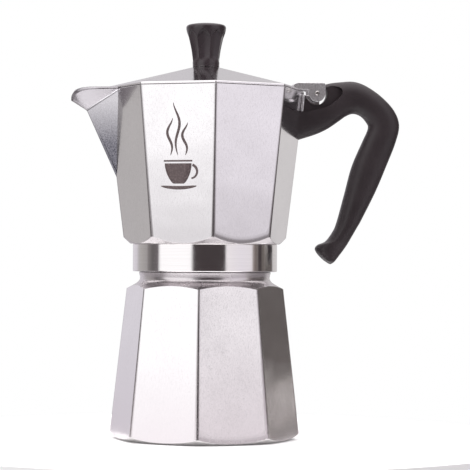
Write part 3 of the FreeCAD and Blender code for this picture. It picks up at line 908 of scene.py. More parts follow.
@dataclass(frozen=True)
class SealRubber:
    """Off-white silicone rubber of the seals, a little chalky."""

    name: str = "seal_rubber"

    def make(self) -> Material:
        """Builds the finish: chalk clouds in colour and gloss.

        Returns:
            The material.
        """
        sheet = NodeSheet(self.name)
        sheet.fix(IOR=1.42, Subsurface_Weight=0.08, Subsurface_Scale=0.002)
        cloud = sheet.noise(160.0, detail=4.0)
        tone = sheet.blend(sheet.remap(cloud, 0.35, 0.7, 0.0, 1.0), (0.74, 0.72, 0.68), (0.64, 0.61, 0.56))
        rough = sheet.remap(cloud, 0.3, 0.7, 0.5, 0.68)
        return sheet.paint(Base_Color=tone, Roughness=rough, Normal=sheet.bump(cloud, 0.00003))


@dataclass(frozen=True)
class PrintedInk:
    """Matt brown-grey ink, a little thin in places."""

    name: str = "printed_ink"

    def make(self) -> Material:
        """Builds the finish: ink that thins to a paler brown.

        Returns:
            The material.
        """
        sheet = NodeSheet(self.name)
        thin = sheet.noise(900.0, detail=3.0)
        tone = sheet.blend(sheet.remap(thin, 0.45, 0.7, 0.0, 1.0), (0.105, 0.078, 0.078), (0.17, 0.13, 0.13))
        return sheet.paint(Base_Color=tone, Roughness=sheet.remap(thin, 0.3, 0.7, 0.45, 0.6))


class Finishes:
    """Every finish of the pot, built once."""

    def __init__(self) -> None:
        """Builds the materials."""
        self.polished = PolishedCasting().make()
        self.boiler = PolishedCasting("boiler_casting", darker_below=0.075).make()
        self.spout = BlastedCasting("spout_casting", (0.40, 0.395, 0.44), (0.09, 0.09, 0.115), 0.26, 0.8,
                                    painted_light_above=0.205).make()
        self.lip = PolishedCasting("lip_casting", (0.48, 0.46, 0.485), (0.40, 0.39, 0.41), smoothest=0.12,
                                   roughest=0.24).make()
        self.hinge = BlastedCasting("hinge_casting", (0.95, 0.94, 0.95), (0.50, 0.49, 0.50), 0.36, 2.4).make()
        self.shoulder = TurnedMetal("shoulder", (0.71, 0.675, 0.69), (0.60, 0.57, 0.585), 0.25, 3e-6).make()
        self.chamfer = TurnedMetal("chamfer", (0.62, 0.59, 0.60), (0.48, 0.455, 0.465), 0.26, 5e-6).make()
        self.inside = BlastedCasting("inside_casting", (0.74, 0.73, 0.73), (0.58, 0.58, 0.6), 0.42,
                                     0.4).make()
        self.turned = TurnedMetal("turned_band", (0.83, 0.81, 0.81), (0.74, 0.72, 0.72), 0.10, 2e-6).make()
        self.spun = TurnedMetal("spun_aluminium", (0.84, 0.83, 0.83), (0.70, 0.69, 0.70), 0.27, 5e-6).make()
        self.steel = TurnedMetal("steel", (0.62, 0.60, 0.58), (0.47, 0.45, 0.44), 0.22, 3e-6).make()
        self.brass = TurnedMetal("brass", (0.78, 0.56, 0.25), (0.62, 0.42, 0.16), 0.24, 4e-6).make()
        self.handle = MouldedPlastic("handle_plastic", (0.0215, 0.0155, 0.0178), (0.07, 0.058, 0.055),
                                     0.46).make()
        self.knob = MouldedPlastic("knob_plastic", (0.034, 0.0255, 0.0295), (0.09, 0.075, 0.07), 0.27).make()
        self.rubber = SealRubber().make()
        self.ink = PrintedInk().make()


# Boiler ------------------------------------------------------------------------------------------------


@dataclass
class Boiler:
    """The water vessel: a flat foot, eight flaring faces, a turned shoulder and a threaded neck."""

    finishes: Finishes
    base_radius: float = 67.1
    mouth_radius: float = 52.05
    mouth_height: float = 130.0
    twist: float = -9.8
    rounding: float = 1.0
    foot_growth: float = 2.2
    foot_fade: float = 1.5
    wall: float = 3.5
    floor: float = 4.0
    collar_top: float = 116.5
    neck_radius: float = 44.4
    neck_top: float = 129.0
    bore_radius: float = 41.0
    thread_start: float = 118.2
    thread: Thread = Thread()

    def build(self) -> Piece:
        """Carries the whole profile round the axis, from the foot up outside and down inside.

        Returns:
            The boiler's shell.
        """
        octagon = Octagon(self.rounding, self.twist)
        taper = Taper(0.0, self.mouth_height, self.base_radius, self.mouth_radius)
        foot = softened(np.array([(57.4, 0.0), (61.7, 1.0), (66.9, 4.2), (69.4, 9.0)]), 2)
        shoulder = softened(np.array([(69.4, 97.9), (56.1, 104.2), (50.9, 106.9), (47.7, 108.7),
                                      (45.8, 110.5), (45.2, 112.3), (45.7, 114.6), (46.1, 116.0)]), 2)
        low = crease_height(octagon, taper, foot, 0.3, 8.5)
        high = crease_height(octagon, taper, shoulder, 98.0, 110.0)
        theta = octagon.theta(MIDWAY_RADIUS)
        _, _, corner = octagon.parts()

        bottom = level_rings([(0.0, 0.6), (30.0, 0.6), (49.0, 0.6), (51.0, 0.0), (57.0, 0.0), (57.4, 0.0)],
                             theta)
        share = np.linspace(0.12, 0.96, 6)[:, None]
        foot_rows = turned_wall(foot, share * low[None], theta)
        share = np.concatenate([[0.0, 0.006], np.linspace(0.03, 0.97, 22), [0.994, 1.0]])[:, None]
        face_height = low + share * (high - low)
        growth = 1.0 + self.foot_growth * (1 - share) ** self.foot_fade
        faces = octagon.wall(taper.at(face_height), face_height, growth)
        # Corner and crease weights: rougher metal and a painted dark reflection line.
        wear_and_shade = crease_wear_and_shade(corner, share, face_wear_and_shade(theta, self.twist), UPPER_WEAR_AND_SHADE)
        share = np.linspace(0.03, 1.0, 30)[:, None]
        shoulder_rows = turned_wall(shoulder, high + share * (116.0 - high), theta)
        collar = level_rings([(46.05, 116.2), (45.7, self.collar_top), (44.7, self.collar_top)], theta)
        level = np.arange(116.6, 128.1, THREAD_STEP)[:, None]
        neck = ring_points(self.neck_radius + self.thread.ridge(theta[None], level, self.thread_start),
                           theta[None], level)
        mouth = level_rings([(44.3, 128.3), (43.6, self.neck_top), (41.4, self.neck_top),
                             (self.bore_radius, 128.6), (self.bore_radius, 107.0), (46.2, 100.9),
                             (46.2, 98.9)], theta)
        inner = Taper(self.floor, 98.9, self.base_radius - 4.2, self.mouth_radius + 3.6 - 3.8)
        level = np.linspace(98.9, self.floor, 10)[:, None]
        inside = octagon.wall(inner.at(level), level)
        ground = octagon.wall(np.array([[40.0], [2.0]]), np.full((2, 1), self.floor))
        pole = level_rings([(0.0, self.floor)], theta)
        surface = banded([
            (bottom, 1, 0.0), (foot_rows, 1, 0.0), (faces, 0, wear_and_shade), (shoulder_rows, 3, 0.0),
            (collar, 3, 0.0), (neck, 3, 0.0), (mouth, 1, 0.0), (inside, 2, 0.0), (ground, 2, 0.0),
            (pole, 2, 0.0),
        ])
        finishes = [self.finishes.boiler, self.finishes.turned, self.finishes.inside, self.finishes.shoulder]
        piece = surface.build("boiler_shell", finishes, SHELL_CREASE)
        return settle(piece, Body.BOILER, Slot.CAST, "boiler")


# Collector ---------------------------------------------------------------------------------------------


@dataclass
class Collector:
    """The upper vessel: a turned skirt, eight faces that flare upwards, a spout and a hinge lug."""

    finishes: Finishes
    skirt_top: float = 136.2
    base_radius: float = 56.8
    rim_radius: float = 69.55
    rim: float = 243.1
    rounding: float = 1.0
    foot_growth: float = 1.8
    foot_fade: float = 2
    bore_radius: float = 46.2
    ceiling: float = 134.0
    floor: float = 139.0
    column_hole: float = 8.0
    notch_foot: float = 182.2
    notch_half_width: float = 15.1
    thread_start: float = 120.0
    thread: Thread = Thread()

    def taper(self) -> Taper:
        """Corner radius of the outer faces over height."""
        return Taper(self.skirt_top, self.rim, self.base_radius, self.rim_radius)

    def rim_heights(self, octagon: Octagon, top: float) -> Array:
        """Height of the wall's upper edge in each column, with a V cut through it at the spout.

        A column's distance from the spout's plane grows with height as a + b z, and the V's side is
        foot + k * distance, so they meet at (foot + k a) / (1 - k b).

        Args:
            octagon: The wall's cross-section.
            top: Height of the level rim.

        Returns:
            One height for each column.
        """
        offset, direction, _ = octagon.parts()
        taper = self.taper()
        slope = (taper.high_radius - taper.low_radius) / (taper.high - taper.low)
        start = np.abs(offset[:, 1] + direction[:, 1] * (taper.low_radius - slope * taper.low))
        growth = np.abs(direction[:, 1]) * slope
        steep = (self.rim - self.notch_foot) / self.notch_half_width
        meeting = (self.notch_foot + steep * start) / np.maximum(1 - steep * growth, 0.05)
        at_spout = direction[:, 0] < -0.8
        return np.where(at_spout, np.clip(meeting, self.notch_foot, top), top)

    def build(self) -> Piece:
        """Carries the profile round: up the skirt and faces, down inside, and out under the floor.

        Returns:
            The collector's shell.
        """
        octagon = Octagon(self.rounding)
        taper = self.taper()
        chamfer = softened(np.array([(52.2, 136.0), (57.6, 141.0), (62.0, 145.1)]), 1)
        low = crease_height(octagon, taper, chamfer, 136.02, 144.0)
        theta = octagon.theta(MIDWAY_RADIUS)
        _, _, corner = octagon.parts()

        skirt = level_rings([(46.9, 116.8), (49.7, 116.8), (50.25, 116.95), (50.4, 117.4), (50.4, 117.9),
                             (50.4, 134.9), (50.4, 135.4), (50.2, 135.9), (50.0, 136.0), (51.9, 136.0)],
                            theta)
        share = np.linspace(0.1, 0.96, 6)[:, None]
        chamfer_rows = turned_wall(chamfer, 136.0 + share * (low - 136.0), theta)
        top = self.rim_heights(octagon, self.rim - 0.35)
        share = np.concatenate([[0.0, 0.006], np.linspace(0.03, 0.97, 24), [0.994, 1.0]])[:, None]
        height = low + share * (top - low)
        growth = 1.0 + self.foot_growth * (1 - share) ** self.foot_fade
        faces = octagon.wall(taper.at(height), height, growth)
        # Corner and crease weights: rougher metal and a painted dark reflection line.
        wear_and_shade = crease_wear_and_shade(corner, share, face_wear_and_shade(theta, 0.0), UPPER_WEAR_AND_SHADE)
        edge_top = self.rim_heights(octagon, self.rim)[None]
        lip = np.concatenate([octagon.wall(taper.at(edge_top) - inset, edge_top - drop)
                              for inset, drop in ((0.1, 0.08), (0.45, 0.0), (2.2, 0.0), (2.6, 0.12))])
        share = np.linspace(0.02, 1.0, 14)[:, None]
        height = edge_top + share * (self.floor - edge_top)
        inside = octagon.wall(taper.at(height) - 2.75, height)
        ground = octagon.wall(np.array([[40.0], [14.0]]), np.full((2, 1), self.floor))
        under = level_rings([(self.column_hole, self.floor), (self.column_hole, self.ceiling),
                             (30.0, self.ceiling), (45.9, self.ceiling), (self.bore_radius, 133.7),
                             (self.bore_radius, 130.5)], theta)
        level = np.arange(130.2, 117.3, -THREAD_STEP)[:, None]
        bore = ring_points(self.bore_radius - self.thread.ridge(theta[None], level, self.thread_start),
                           theta[None], level)
        surface = banded([
            (skirt, 1, 0.0), (chamfer_rows, 3, 0.0), (faces, 0, wear_and_shade), (lip, 3, 0.0), (inside, 2, 0.0),
            (ground, 2, 0.0), (under, 2, 0.0), (bore, 2, 0.0),
        ], wrap_rows=True)
        finishes = [self.finishes.polished, self.finishes.turned, self.finishes.inside, self.finishes.chamfer]
        piece = surface.build("collector_shell", finishes, SHELL_CREASE)
        return settle(piece, Body.COLLECTOR, Slot.POLISHED, "collector")


@dataclass
class Spout:
    """The V-shaped spout with a flared lip."""

    finishes: Finishes
    foot: Triple = (-59.8, 0.0, 177.0)
    fold: Triple = (-83.1, 0.0, 228.4)
    tip: Triple = (-94.0, 0.0, 235.2)
    root: Triple = (-62.1, 17.4, 241.9)
    rim: float = 242.5
    wall: float = 1.9
    straight: float = 0.35
    steps: int = 36
    fold_column: float = 14.5
    fold_spread: float = 3.2
    keel_fade: float = 0.8
    lip_lift: float = 0.8

    def side(self, sign: float) -> Array:
        """One half of the outer skin, from the pot to the tip.

        The fold line runs straight from the root to the fold. The edge reaches out by sine of the share,
        narrows by cosine to the power 0.8, and drops like a quarter of an ellipse. Each row goes from the
        foot over the fold line to the edge, and bends over the fold as a softened corner.

        Args:
            sign: 1 or -1, the side of the plane of symmetry.

        Returns:
            Points shaped (rows, columns, 3).
        """
        foot, fold, root = (np.array(p) for p in (self.foot, self.fold, self.root))
        share = np.linspace(0.0, 1.0, self.steps)[:, None]
        inner = root + (fold - root) * share
        swing = math.pi / 2 * share
        bend = np.maximum(0.0, share - self.straight) / (1 - self.straight)
        reach = root[0] + (self.tip[0] - root[0]) * np.sin(swing)
        width = (root[1] + 1.2) * np.maximum(np.cos(swing), 0.0) ** 0.8
        height = self.rim - (self.rim - self.tip[2]) * (1 - np.sqrt(np.maximum(1 - bend**2, 0.0)))
        edge = np.concatenate([reach, width, height], axis=1)
        low = inner + 0.02 * (foot - inner)
        high = inner + 0.07 * (edge - inner)
        up = np.linspace(0.0, 1.0, 12)[1:-1][None, :, None]
        corner = (1 - up) ** 2 * low[:, None] + 2 * up * (1 - up) * inner[:, None] + up**2 * high[:, None]
        rise = np.linspace(0.0, 1.0, 10)[None, :, None]
        lower = foot + (low[:, None] - foot) * rise
        upper = high[:, None] + (edge - high)[:, None] * np.linspace(0.0, 1.0, 8)[None, :, None]
        return np.concatenate([lower, corner, upper], axis=1) * np.array([1.0, sign, 1.0])

    def build(self) -> Piece:
        """Joins both halves along the middle and gives the skin its wall.

        Returns:
            The spout.
        """
        near = self.side(-1.0)
        far = self.side(1.0)[-2::-1]
        rows, columns = near.shape[:2]
        # The fold and keel weights darken the colour along the fold line and the keel: a painted dark
        # reflection.
        fold = np.exp(-(((np.arange(columns) - self.fold_column) / self.fold_spread) ** 2))[None]
        keel = np.exp(-(rows - 1 - np.arange(rows)) / self.keel_fade)[:, None]
        edge = np.maximum(fold, keel)
        surface = Surface(np.concatenate([near, far]), wrap_columns=False,
                          edge=np.concatenate([edge, edge[-2::-1]]))
        piece = surface.build("spout", [self.finishes.spout, self.finishes.lip], 40.0)
        mesh = piece.data
        face_towards(mesh, (0.0, 0.0, -1.0))
        centre = read_rows(mesh.polygons, "center") / MM
        line = self.root[2] + (self.fold[2] - self.root[2]) * (-centre[:, 0] + self.root[0]) / (
            self.root[0] - self.fold[0])
        above = centre[:, 2] > line + self.lip_lift
        mesh.polygons.foreach_set("material_index", above.astype(np.int32))
        wall = piece.modifiers.new("wall", "SOLIDIFY")
        wall.thickness = self.wall * MM
        wall.offset = -1.0
        wall.use_even_offset = True
        return settle(piece, Body.COLLECTOR, Slot.POLISHED)


@dataclass
class HingeLug:
    """The flat lug that stands out of the collector's corner and carries the hinge pin."""

    finishes: Finishes
    pin: tuple[float, float] = (77.5, 242.0)
    knuckle: float = 4.0
    half_width: float = 2.0
    bead_radius: float = 1.05
    bead_foot: Triple = (67.1, 4.9, 228.4)
    bead_height: float = 12.9
    bead_lean: float = 1.3

    def build(self) -> Piece:
        """Cuts the lug from its side outline.

        Returns:
            The lug.
        """
        outline = np.concatenate([
            np.array([(62.0, 226.5), (76.5, 226.5), (80.0, 230.0), (80.0, 238.4)]),
            arc(self.pin, self.knuckle, -20, 200, 20),
            np.array([(69.0, 241.2), (62.0, 240.0)]),
        ])
        piece = extruded("hinge_lug", outline, -self.half_width, self.half_width, self.finishes.polished, 0.3)
        return settle(piece, Body.COLLECTOR, Slot.POLISHED)

    def rib(self, side: int) -> Piece:
        """A round bead that runs up beside the pot's corner: r (cos, sin) about its upright line.

        Args:
            side: 1 or -1, the side of the plane of symmetry.

        Returns:
            The bead.
        """
        angle = np.linspace(0.0, math.tau, 24, endpoint=False)[None]
        rise = np.linspace(0.0, 1.0, 20)[:, None]
        radius = self.bead_radius * np.sqrt(np.clip(1 - (2 * rise - 1) ** 10, 0.0, 1.0))
        points = ring_points(radius, angle, self.bead_foot[2] + self.bead_height * rise)
        points[..., 0] += self.bead_foot[0] + self.bead_lean * rise
        points[..., 1] += side * self.bead_foot[1]
        piece = Surface(points).build("lug_bead_near" if side < 0 else "lug_bead_far", [self.finishes.hinge])
        return settle(piece, Body.COLLECTOR, Slot.POLISHED)


@dataclass
class Emblem:
    """A plain printed sign on one face of the collector: a cup on a saucer under three curls of steam."""

    finishes: Finishes
    collector: Collector
    facing: float = -112.5
    centre: float = -1.5
    base: float = 170.0
    growth: float = 1.05
    proud: float = 0.05

    def ribbon(self, path: Array, half_width: Array) -> Surface:
        """A band of ink along a path on the face.

        The band's edges lie at path plus and minus half_width along the path's normal. A flat point (u, v)
        goes to apothem(v) outwards, u sideways and v up, where the apothem is the corner radius * cos 22.5.

        Args:
            path: Points (sideways, up), one row each.
            half_width: Half the band's width at each point.

        Returns:
            The band as a surface.
        """
        along = np.gradient(path, axis=0)
        along /= np.linalg.norm(along, axis=1, keepdims=True)
        normal = np.stack([-along[:, 1], along[:, 0]], axis=1)
        across = np.linspace(-1.0, 1.0, 5)[None, :, None]
        flat = self.growth * (path[:, None] + across * half_width[:, None, None] * normal[:, None])
        sideways, height = flat[..., 0] + self.centre, flat[..., 1] + self.base
        apothem = self.collector.taper().at(height) * math.cos(HALF_SIDE) + 0.012
        angle = math.radians(self.facing)
        outwards = np.array([math.cos(angle), math.sin(angle), 0.0])
        right = np.array([-math.sin(angle), math.cos(angle), 0.0])
        points = apothem[..., None] * outwards + sideways[..., None] * right
        points[..., 2] = height
        return Surface(points, wrap_columns=False)

    def strokes(self) -> dict[str, Surface]:
        """The sign's strokes by name.

        Returns:
            The steam curls, the cup's bowl, its rim, its handle and the saucer.
        """
        rise = np.linspace(0.0, 1.0, 60)
        strokes = {}
        curls = (("left", -5.0, 48.0, 1.0), ("middle", 0.0, 58.0, -1.0), ("right", 5.0, 45.0, 1.0))
        for name, place, top, lean in curls:
            sway = lean * 2.1 * np.sin(rise * math.tau * 1.25) * (0.5 + 0.5 * rise)
            path = np.stack([place + sway, 24.0 + (top - 24.0) * rise], axis=1)
            strokes["steam_" + name] = self.ribbon(path, 0.85 * np.sin(math.pi * rise) ** 0.6 + 0.02)
        depth = np.linspace(0.0, 1.0, 40)
        bowl = np.stack([np.zeros(40), 6.0 + 13.0 * depth], axis=1)
        strokes["bowl"] = self.ribbon(bowl, 3.4 + 5.6 * np.sin(depth * math.pi / 2) ** 0.7)
        rim = np.stack([np.linspace(-9.6, 9.6, 30), np.full(30, 20.6)], axis=1)
        strokes["rim"] = self.ribbon(rim, 0.55 * np.ones(30))
        turn = np.radians(np.linspace(72.0, -84.0, 40))
        ear = np.stack([8.2 + 4.4 * np.cos(turn), 13.8 + 4.4 * np.sin(turn)], axis=1)
        strokes["ear"] = self.ribbon(ear, 0.75 + 0.15 * np.sin(turn))
        plate = np.linspace(-1.0, 1.0, 40)
        saucer = np.stack([12.0 * plate, 3.4 + 1.1 * plate**2], axis=1)
        strokes["saucer"] = self.ribbon(saucer, 1.15 * np.sqrt(1.02 - plate**2))
        return strokes

    def build(self) -> list[Piece]:
        """Lays the strokes on the face as a thin film.

        Returns:
            The ink pieces.
        """
        pieces = []
        angle = math.radians(self.facing)
        for name, surface in self.strokes().items():
            piece = surface.build("print_" + name, [self.finishes.ink])
            face_towards(piece.data, (math.cos(angle), math.sin(angle), 0.0))
            film = piece.modifiers.new("film", "SOLIDIFY")
            film.thickness = self.proud * MM
            film.offset = 1.0
            pieces.append(settle(piece, Body.COLLECTOR, Slot.PLASTIC))
        return pieces


# Handle ------------------------------------------------------------------------------------------------


@dataclass
class Handle:
    """The moulded handle: a rounded bar that sweeps over and down to a flared tail."""

    finishes: Finishes
    collector: Collector
    half_width: float = 9.0
    front_half_width: float = 6.2
    web_half_width: float = 5.0
    squareness: float = 2.35
    stations: int = 190
    around: int = 72

    def spans(self) -> tuple[Array, Array]:
        """Outer and inner side points, paired along the handle from its tail to the pot.

        Returns:
            Two tables of (x, z) rows.
        """
        pairs = np.array([
            (88.8, 122.4, 88.0, 122.6), (91.5, 124.4, 83.8, 125.4), (95.5, 129.4, 79.6, 129.4),
            (98.5, 133.4, 77.7, 133.2), (101.0, 137.2, 79.8, 136.0), (104.0, 142.4, 85.0, 138.3),
            (107.5, 148.5, 89.6, 144.2), (110.4, 153.6, 92.9, 151.4), (120.3, 173.4, 98.2, 171.0),
            (128.7, 193.3, 103.5, 191.0), (134.6, 208.5, 110.5, 207.5), (137.05, 220.5, 115.0, 218.0),
            (133.3, 230.9, 113.6, 222.6), (124.2, 240.6, 109.5, 226.8), (113.4, 247.9, 104.2, 228.3),
            (104.5, 250.9, 99.0, 226.5), (95.0, 250.5, 93.5, 222.6), (86.0, 249.2, 86.0, 217.5),
            (78.0, 246.0, 77.5, 213.5), (69.2, 241.0, 65.2, 209.5),
        ])
        table = smooth_path(pairs, self.stations)
        return table[:, :2], table[:, 2:]

    def skin(self) -> Array:
        """The bar's skin: rounded sections carried along the line midway between both sides.

        A section's point is centre + half height * sgn(cos) |cos|^p across + half width * sgn(sin) |sin|^p
        sideways, with p = 2 / squareness. The first sections shrink to a dome, and the last ones lie
        against the collector's corner: x = corner radius - |y| tan 22.5.

        Returns:
            Points shaped (rows, columns, 3).
        """
        outer, inner = self.spans()
        centre, reach = (outer + inner) / 2, (outer - inner) / 2
        power = 2.0 / self.squareness
        angle = np.linspace(0.0, math.tau, self.around, endpoint=False)
        up = np.sign(np.cos(angle)) * np.abs(np.cos(angle)) ** power
        side = np.sign(np.sin(angle)) * np.abs(np.sin(angle)) ** power
        width = np.interp(centre[:, 0], [64.0, 92.0, 120.0, 142.0],
                          [self.front_half_width, self.half_width, self.half_width, self.half_width - 1.5])
        tail = np.sqrt(np.clip(np.arange(self.stations) / 9.0, 0.0, 1.0))
        width = width * (0.35 + 0.65 * tail)
        flat = centre[:, None] + reach[:, None] * up[None, :, None]
        points = np.stack([flat[..., 0], width[:, None] * side[None], flat[..., 1]], axis=-1)
        first = points[:1].mean(axis=1, keepdims=True)
        last = points[-1:].mean(axis=1, keepdims=True)
        shrink = np.array([0.0, 0.5])[:, None, None]
        start = first + (points[:1] - first) * shrink
        end = last + (points[-1:] - last) * np.array([1.0, 0.66, 0.33, 0.0])[:, None, None]
        corner = self.collector.taper().at(end[..., 2])
        end[..., 0] = corner - 0.5 - np.abs(end[..., 1]) * math.tan(HALF_SIDE)
        return np.concatenate([start, points[:-1], end])

    def recess(self, name: str, low: float, high: float) -> Piece:
        """The block that is cut from one cheek, so that the lid's ear can swing there.

        Args:
            name: The block's name.
            low: Lowest Y.
            high: Highest Y.

        Returns:
            The cutting block.
        """
        outline = np.array([(50.0, 228.0), (70.5, 229.2), (85.0, 232.2), (94.0, 239.2), (96.1, 243.6),
                            (94.0, 246.8), (85.5, 247.8), (85.5, 256.0), (50.0, 256.0)])
        bent = softened(outline[1:7], 2)
        outline = np.concatenate([outline[:1], bent, outline[7:]])
        return extruded(name, outline, low, high, self.finishes.handle, 0.0)

    def build(self) -> Piece:
        """Makes the bar, cuts both recesses and keeps the result as a plain mesh.

        Returns:
            The handle.
        """
        piece = Surface(self.skin()).build("handle_blank", [self.finishes.handle], 50.0)
        cutters = [self.recess("recess_near", -20.0, -self.web_half_width),
                   self.recess("recess_far", self.web_half_width, 20.0),
                   extruded("swing_room", arc((77.5, 242.0), 7.9, 0, 360, 49)[:-1], -20.0, 20.0,
                            self.finishes.handle, 0.0)]
        for cutter in cutters:
            cut = piece.modifiers.new("cut", "BOOLEAN")
            cut.operation = "DIFFERENCE"
            cut.solver = "EXACT"
            cut.object = cutter
        graph = bpy.context.evaluated_depsgraph_get()
        mesh = bpy.data.meshes.new_from_object(piece.evaluated_get(graph))
        for tool in [piece] + cutters:
            bpy.data.objects.remove(tool)
        mesh.name = "handle_grip"
        finish_mesh(mesh, 32.0)
        grip = placed("handle_grip", mesh)
        softer = grip.modifiers.new("soft_edges", "BEVEL")
        softer.width = 0.45 * MM
        softer.segments = 2
        softer.limit_method = "ANGLE"
        softer.angle_limit = math.radians(38)
        return settle(grip, Body.COLLECTOR, Slot.PLASTIC, "handle")


# Lid and knob ------------------------------------------------------------------------------------------


@dataclass
class Lid:
    """The lid: a shallow eight-sided roof with a flat boss, and the hinge's plate and ears."""

    finishes: Finishes
    radius: float = 69.2
    rounding: float = 1.6
    edge_top: float = 245.0
    crown: float = 259.9
    crown_radius: float = 8.0
    boss_top: float = 260.5
    hole: float = 2.6
    pin: tuple[float, float] = (77.5, 242.0)
    ear_radius: float = 5.95
    ear_inside: float = 5.6
    ear_outside: float = 7.9

    def shell(self) -> Piece:
        """Carries the lid's section round: from the screw hole out over the roof and back beneath it.

        The roof is flat between its ridges: height falls in a straight line with the corner radius.

        Returns:
            The lid's shell.
        """
        octagon = Octagon(self.rounding)
        theta = octagon.theta(50.0)
        _, _, corner = octagon.parts()
        slope = (self.crown - self.edge_top) / (self.radius - self.crown_radius)

        boss = level_rings([(self.hole, 257.6), (self.hole, self.boss_top), (8.6, self.boss_top),
                            (8.9, 260.3), (8.9, 259.7)], theta)
        spread = np.concatenate([[10.9], np.linspace(14.0, 66.5, 14), [68.6]])[:, None]
        roof = octagon.wall(spread, self.crown - (spread - self.crown_radius) * slope)
        rim = octagon.wall(np.array([[69.0], [69.2], [69.2], [68.9], [67.0]]),
                           np.array([[244.95], [244.7], [243.85], [243.5], [243.5]]))
        spread = np.concatenate([[66.5], np.linspace(60.0, 12.0, 7)])[:, None]
        under = octagon.wall(spread, self.crown - 1.9 - (spread - self.crown_radius) * slope)
        seat = level_rings([(9.6, 257.5), (6.0, 257.5)], theta)
        # The boss rows' full edge weight paints a dark shadow line under the knob; the roof's corner weights
        # paint a dark reflection along its ridges.
        surface = banded([
            (boss, 0, 1.0), (roof, 0, corner * 0.6), (rim, 0, 0.0), (under, 1, 0.0), (seat, 1, 0.0),
        ], wrap_rows=True)
        piece = surface.build("lid_shell", [self.finishes.polished, self.finishes.inside], 24.0)
        return settle(piece, Body.LID, Slot.POLISHED, "lid")

    def hinge(self) -> list[Piece]:
        """Cuts the hinge's plate and its two round ears from their side outlines.

        Returns:
            The hinge's pieces.
        """
        root = np.array([(60.4, 245.6), (60.4, 247.4), (62.0, 248.7), (64.4, 249.25), (65.9, 249.25),
                         (65.9, 244.3), (61.0, 244.3)])
        bar = np.array([(75.1, 246.8), (75.1, 249.0), (77.4, 249.0), (77.4, 246.8)])
        ear = np.concatenate([
            np.array([(60.5, 244.4), (60.5, 247.4), (62.0, 248.7), (64.4, 249.3), (82.4, 249.3),
                      (83.4, 248.5)]),
            arc(self.pin, self.ear_radius, 0, -176, 30),
            np.array([(71.5, 244.2)]),
        ])
        spans = {"lid_hinge_root": (root, -self.ear_outside + 0.1, self.ear_outside - 0.1),
                 "lid_hinge_bar": (bar, -self.ear_outside + 0.1, self.ear_outside - 0.1),
                 "lid_ear_near": (ear, -self.ear_outside, -self.ear_inside),
                 "lid_ear_far": (ear, self.ear_inside, self.ear_outside)}
        return [settle(extruded(name, outline, low, high, self.finishes.hinge, 0.45), Body.LID, Slot.POLISHED)
                for name, (outline, low, high) in spans.items()]

    def build(self) -> list[Piece]:
        """Builds the lid and its hinge."""
        return [self.shell()] + self.hinge()


@dataclass
class Knob:
    """The moulded knob: a waisted cup with eight hollow flutes that end in pointed arches."""

    finishes: Finishes
    base: float = 260.5
    flutes: int = 8
    depth: float = 1.35
    arch_top: float = 285.6
    arch_drop: float = 5.0
    columns: int = 192
    turned_by: float = 9.4

    def build(self) -> Piece:
        """Carries the profile round, less the flutes.

        A flute is depth * (1 - u^2) deep, where u runs from -1 to 1 between two ridges. It fades in above
        the base, and its top edge falls by arch_drop * |u|^1.4, which draws the arch.

        Returns:
            The knob.
        """
        outline = softened(np.array([
            (9.3, 259.85), (9.25, 260.9), (9.35, 262.2), (9.55, 264.8), (10.5, 271.8), (12.1, 278.8),
            (13.4, 283.9), (14.0, 286.9), (13.75, 288.2), (12.6, 289.25), (8.5, 289.95), (4.0, 290.3)]), 2)
        path = smooth_path(outline, 110)
        radius, height = path[:, :1], path[:, 1:]
        theta = np.linspace(0.0, math.tau, self.columns, endpoint=False)[None]
        pitch = math.tau / self.flutes
        across = 2 * np.abs(np.mod((theta - math.radians(self.turned_by)) / pitch, 1.0) - 0.5)
        arch = self.arch_top - self.arch_drop * across**1.4
        reach = smoothstep((arch - height) / 1.3) * smoothstep((height - 262.2) / 5.0)
        cut = self.depth * (1 - across**2) * reach
        skin = ring_points(radius - cut, theta, height)
        foot = ring_points(np.array([[0.0], [9.0], [9.05]]), theta, np.array([[260.56], [260.56], [259.85]]))
        cap = ring_points(np.array([[0.0]]), theta, np.array([[290.38]]))
        piece = Surface(np.concatenate([foot, skin, cap])).build("knob_grip", [self.finishes.knob], 34.0)
        return settle(piece, Body.LID, Slot.PLASTIC, "knob")


# Parts kept from the frame ------------------------------------------------------------------------------


@dataclass(frozen=True)
class Kept:
    """A machined part whose frame shape is right: it is shown as a merged copy, shaded smooth."""

    node: str
    body: Body
    slot: Slot
    finish: Material
    crease_degrees: float = 28.0

    def build(self, nodes: dict[str, Piece]) -> Piece:
        """Copies the node's mesh, merges its loose triangles and gives it its finish.

        Args:
            nodes: The frame's nodes by name.

        Returns:
            The copy.
        """
        mesh = nodes[self.node].data.copy()
        mesh.name = self.node + "_piece"
        mesh.materials.clear()
        mesh.materials.append(self.finish)
        mesh.polygons.foreach_set("material_index", np.zeros(len(mesh.polygons), dtype=np.int32))
        if mesh.has_custom_normals:
            mesh.attributes.remove(mesh.attributes["custom_normal"])
        finish_mesh(mesh, self.crease_degrees, turn_outwards=False)
        return settle(placed(mesh.name, mesh), self.body, self.slot, self.node)


@dataclass
class ValveSpring:
    """The safety valve's coil spring, which shortens as the plunger is pushed out; the copy here keeps its
    full length.
    """

    finishes: Finishes
    axis: Triple = (-0.218599, 0.970002, 0.10635)
    lift: float = 0.0015

    def build(self, nodes: dict[str, Piece]) -> Piece:
        """Copies the spring and gives it a mesh of its own; it keeps its full length.

        Args:
            nodes: The frame's nodes by name.

        Returns:
            The spring.
        """
        piece = Kept("valve_spring", Body.BOILER, Slot.STEEL, self.finishes.steel, 60.0).build(nodes)
        axis = np.array(self.axis)
        along = read_rows(piece.data.vertices, "co") @ axis
        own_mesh(piece)
        return piece


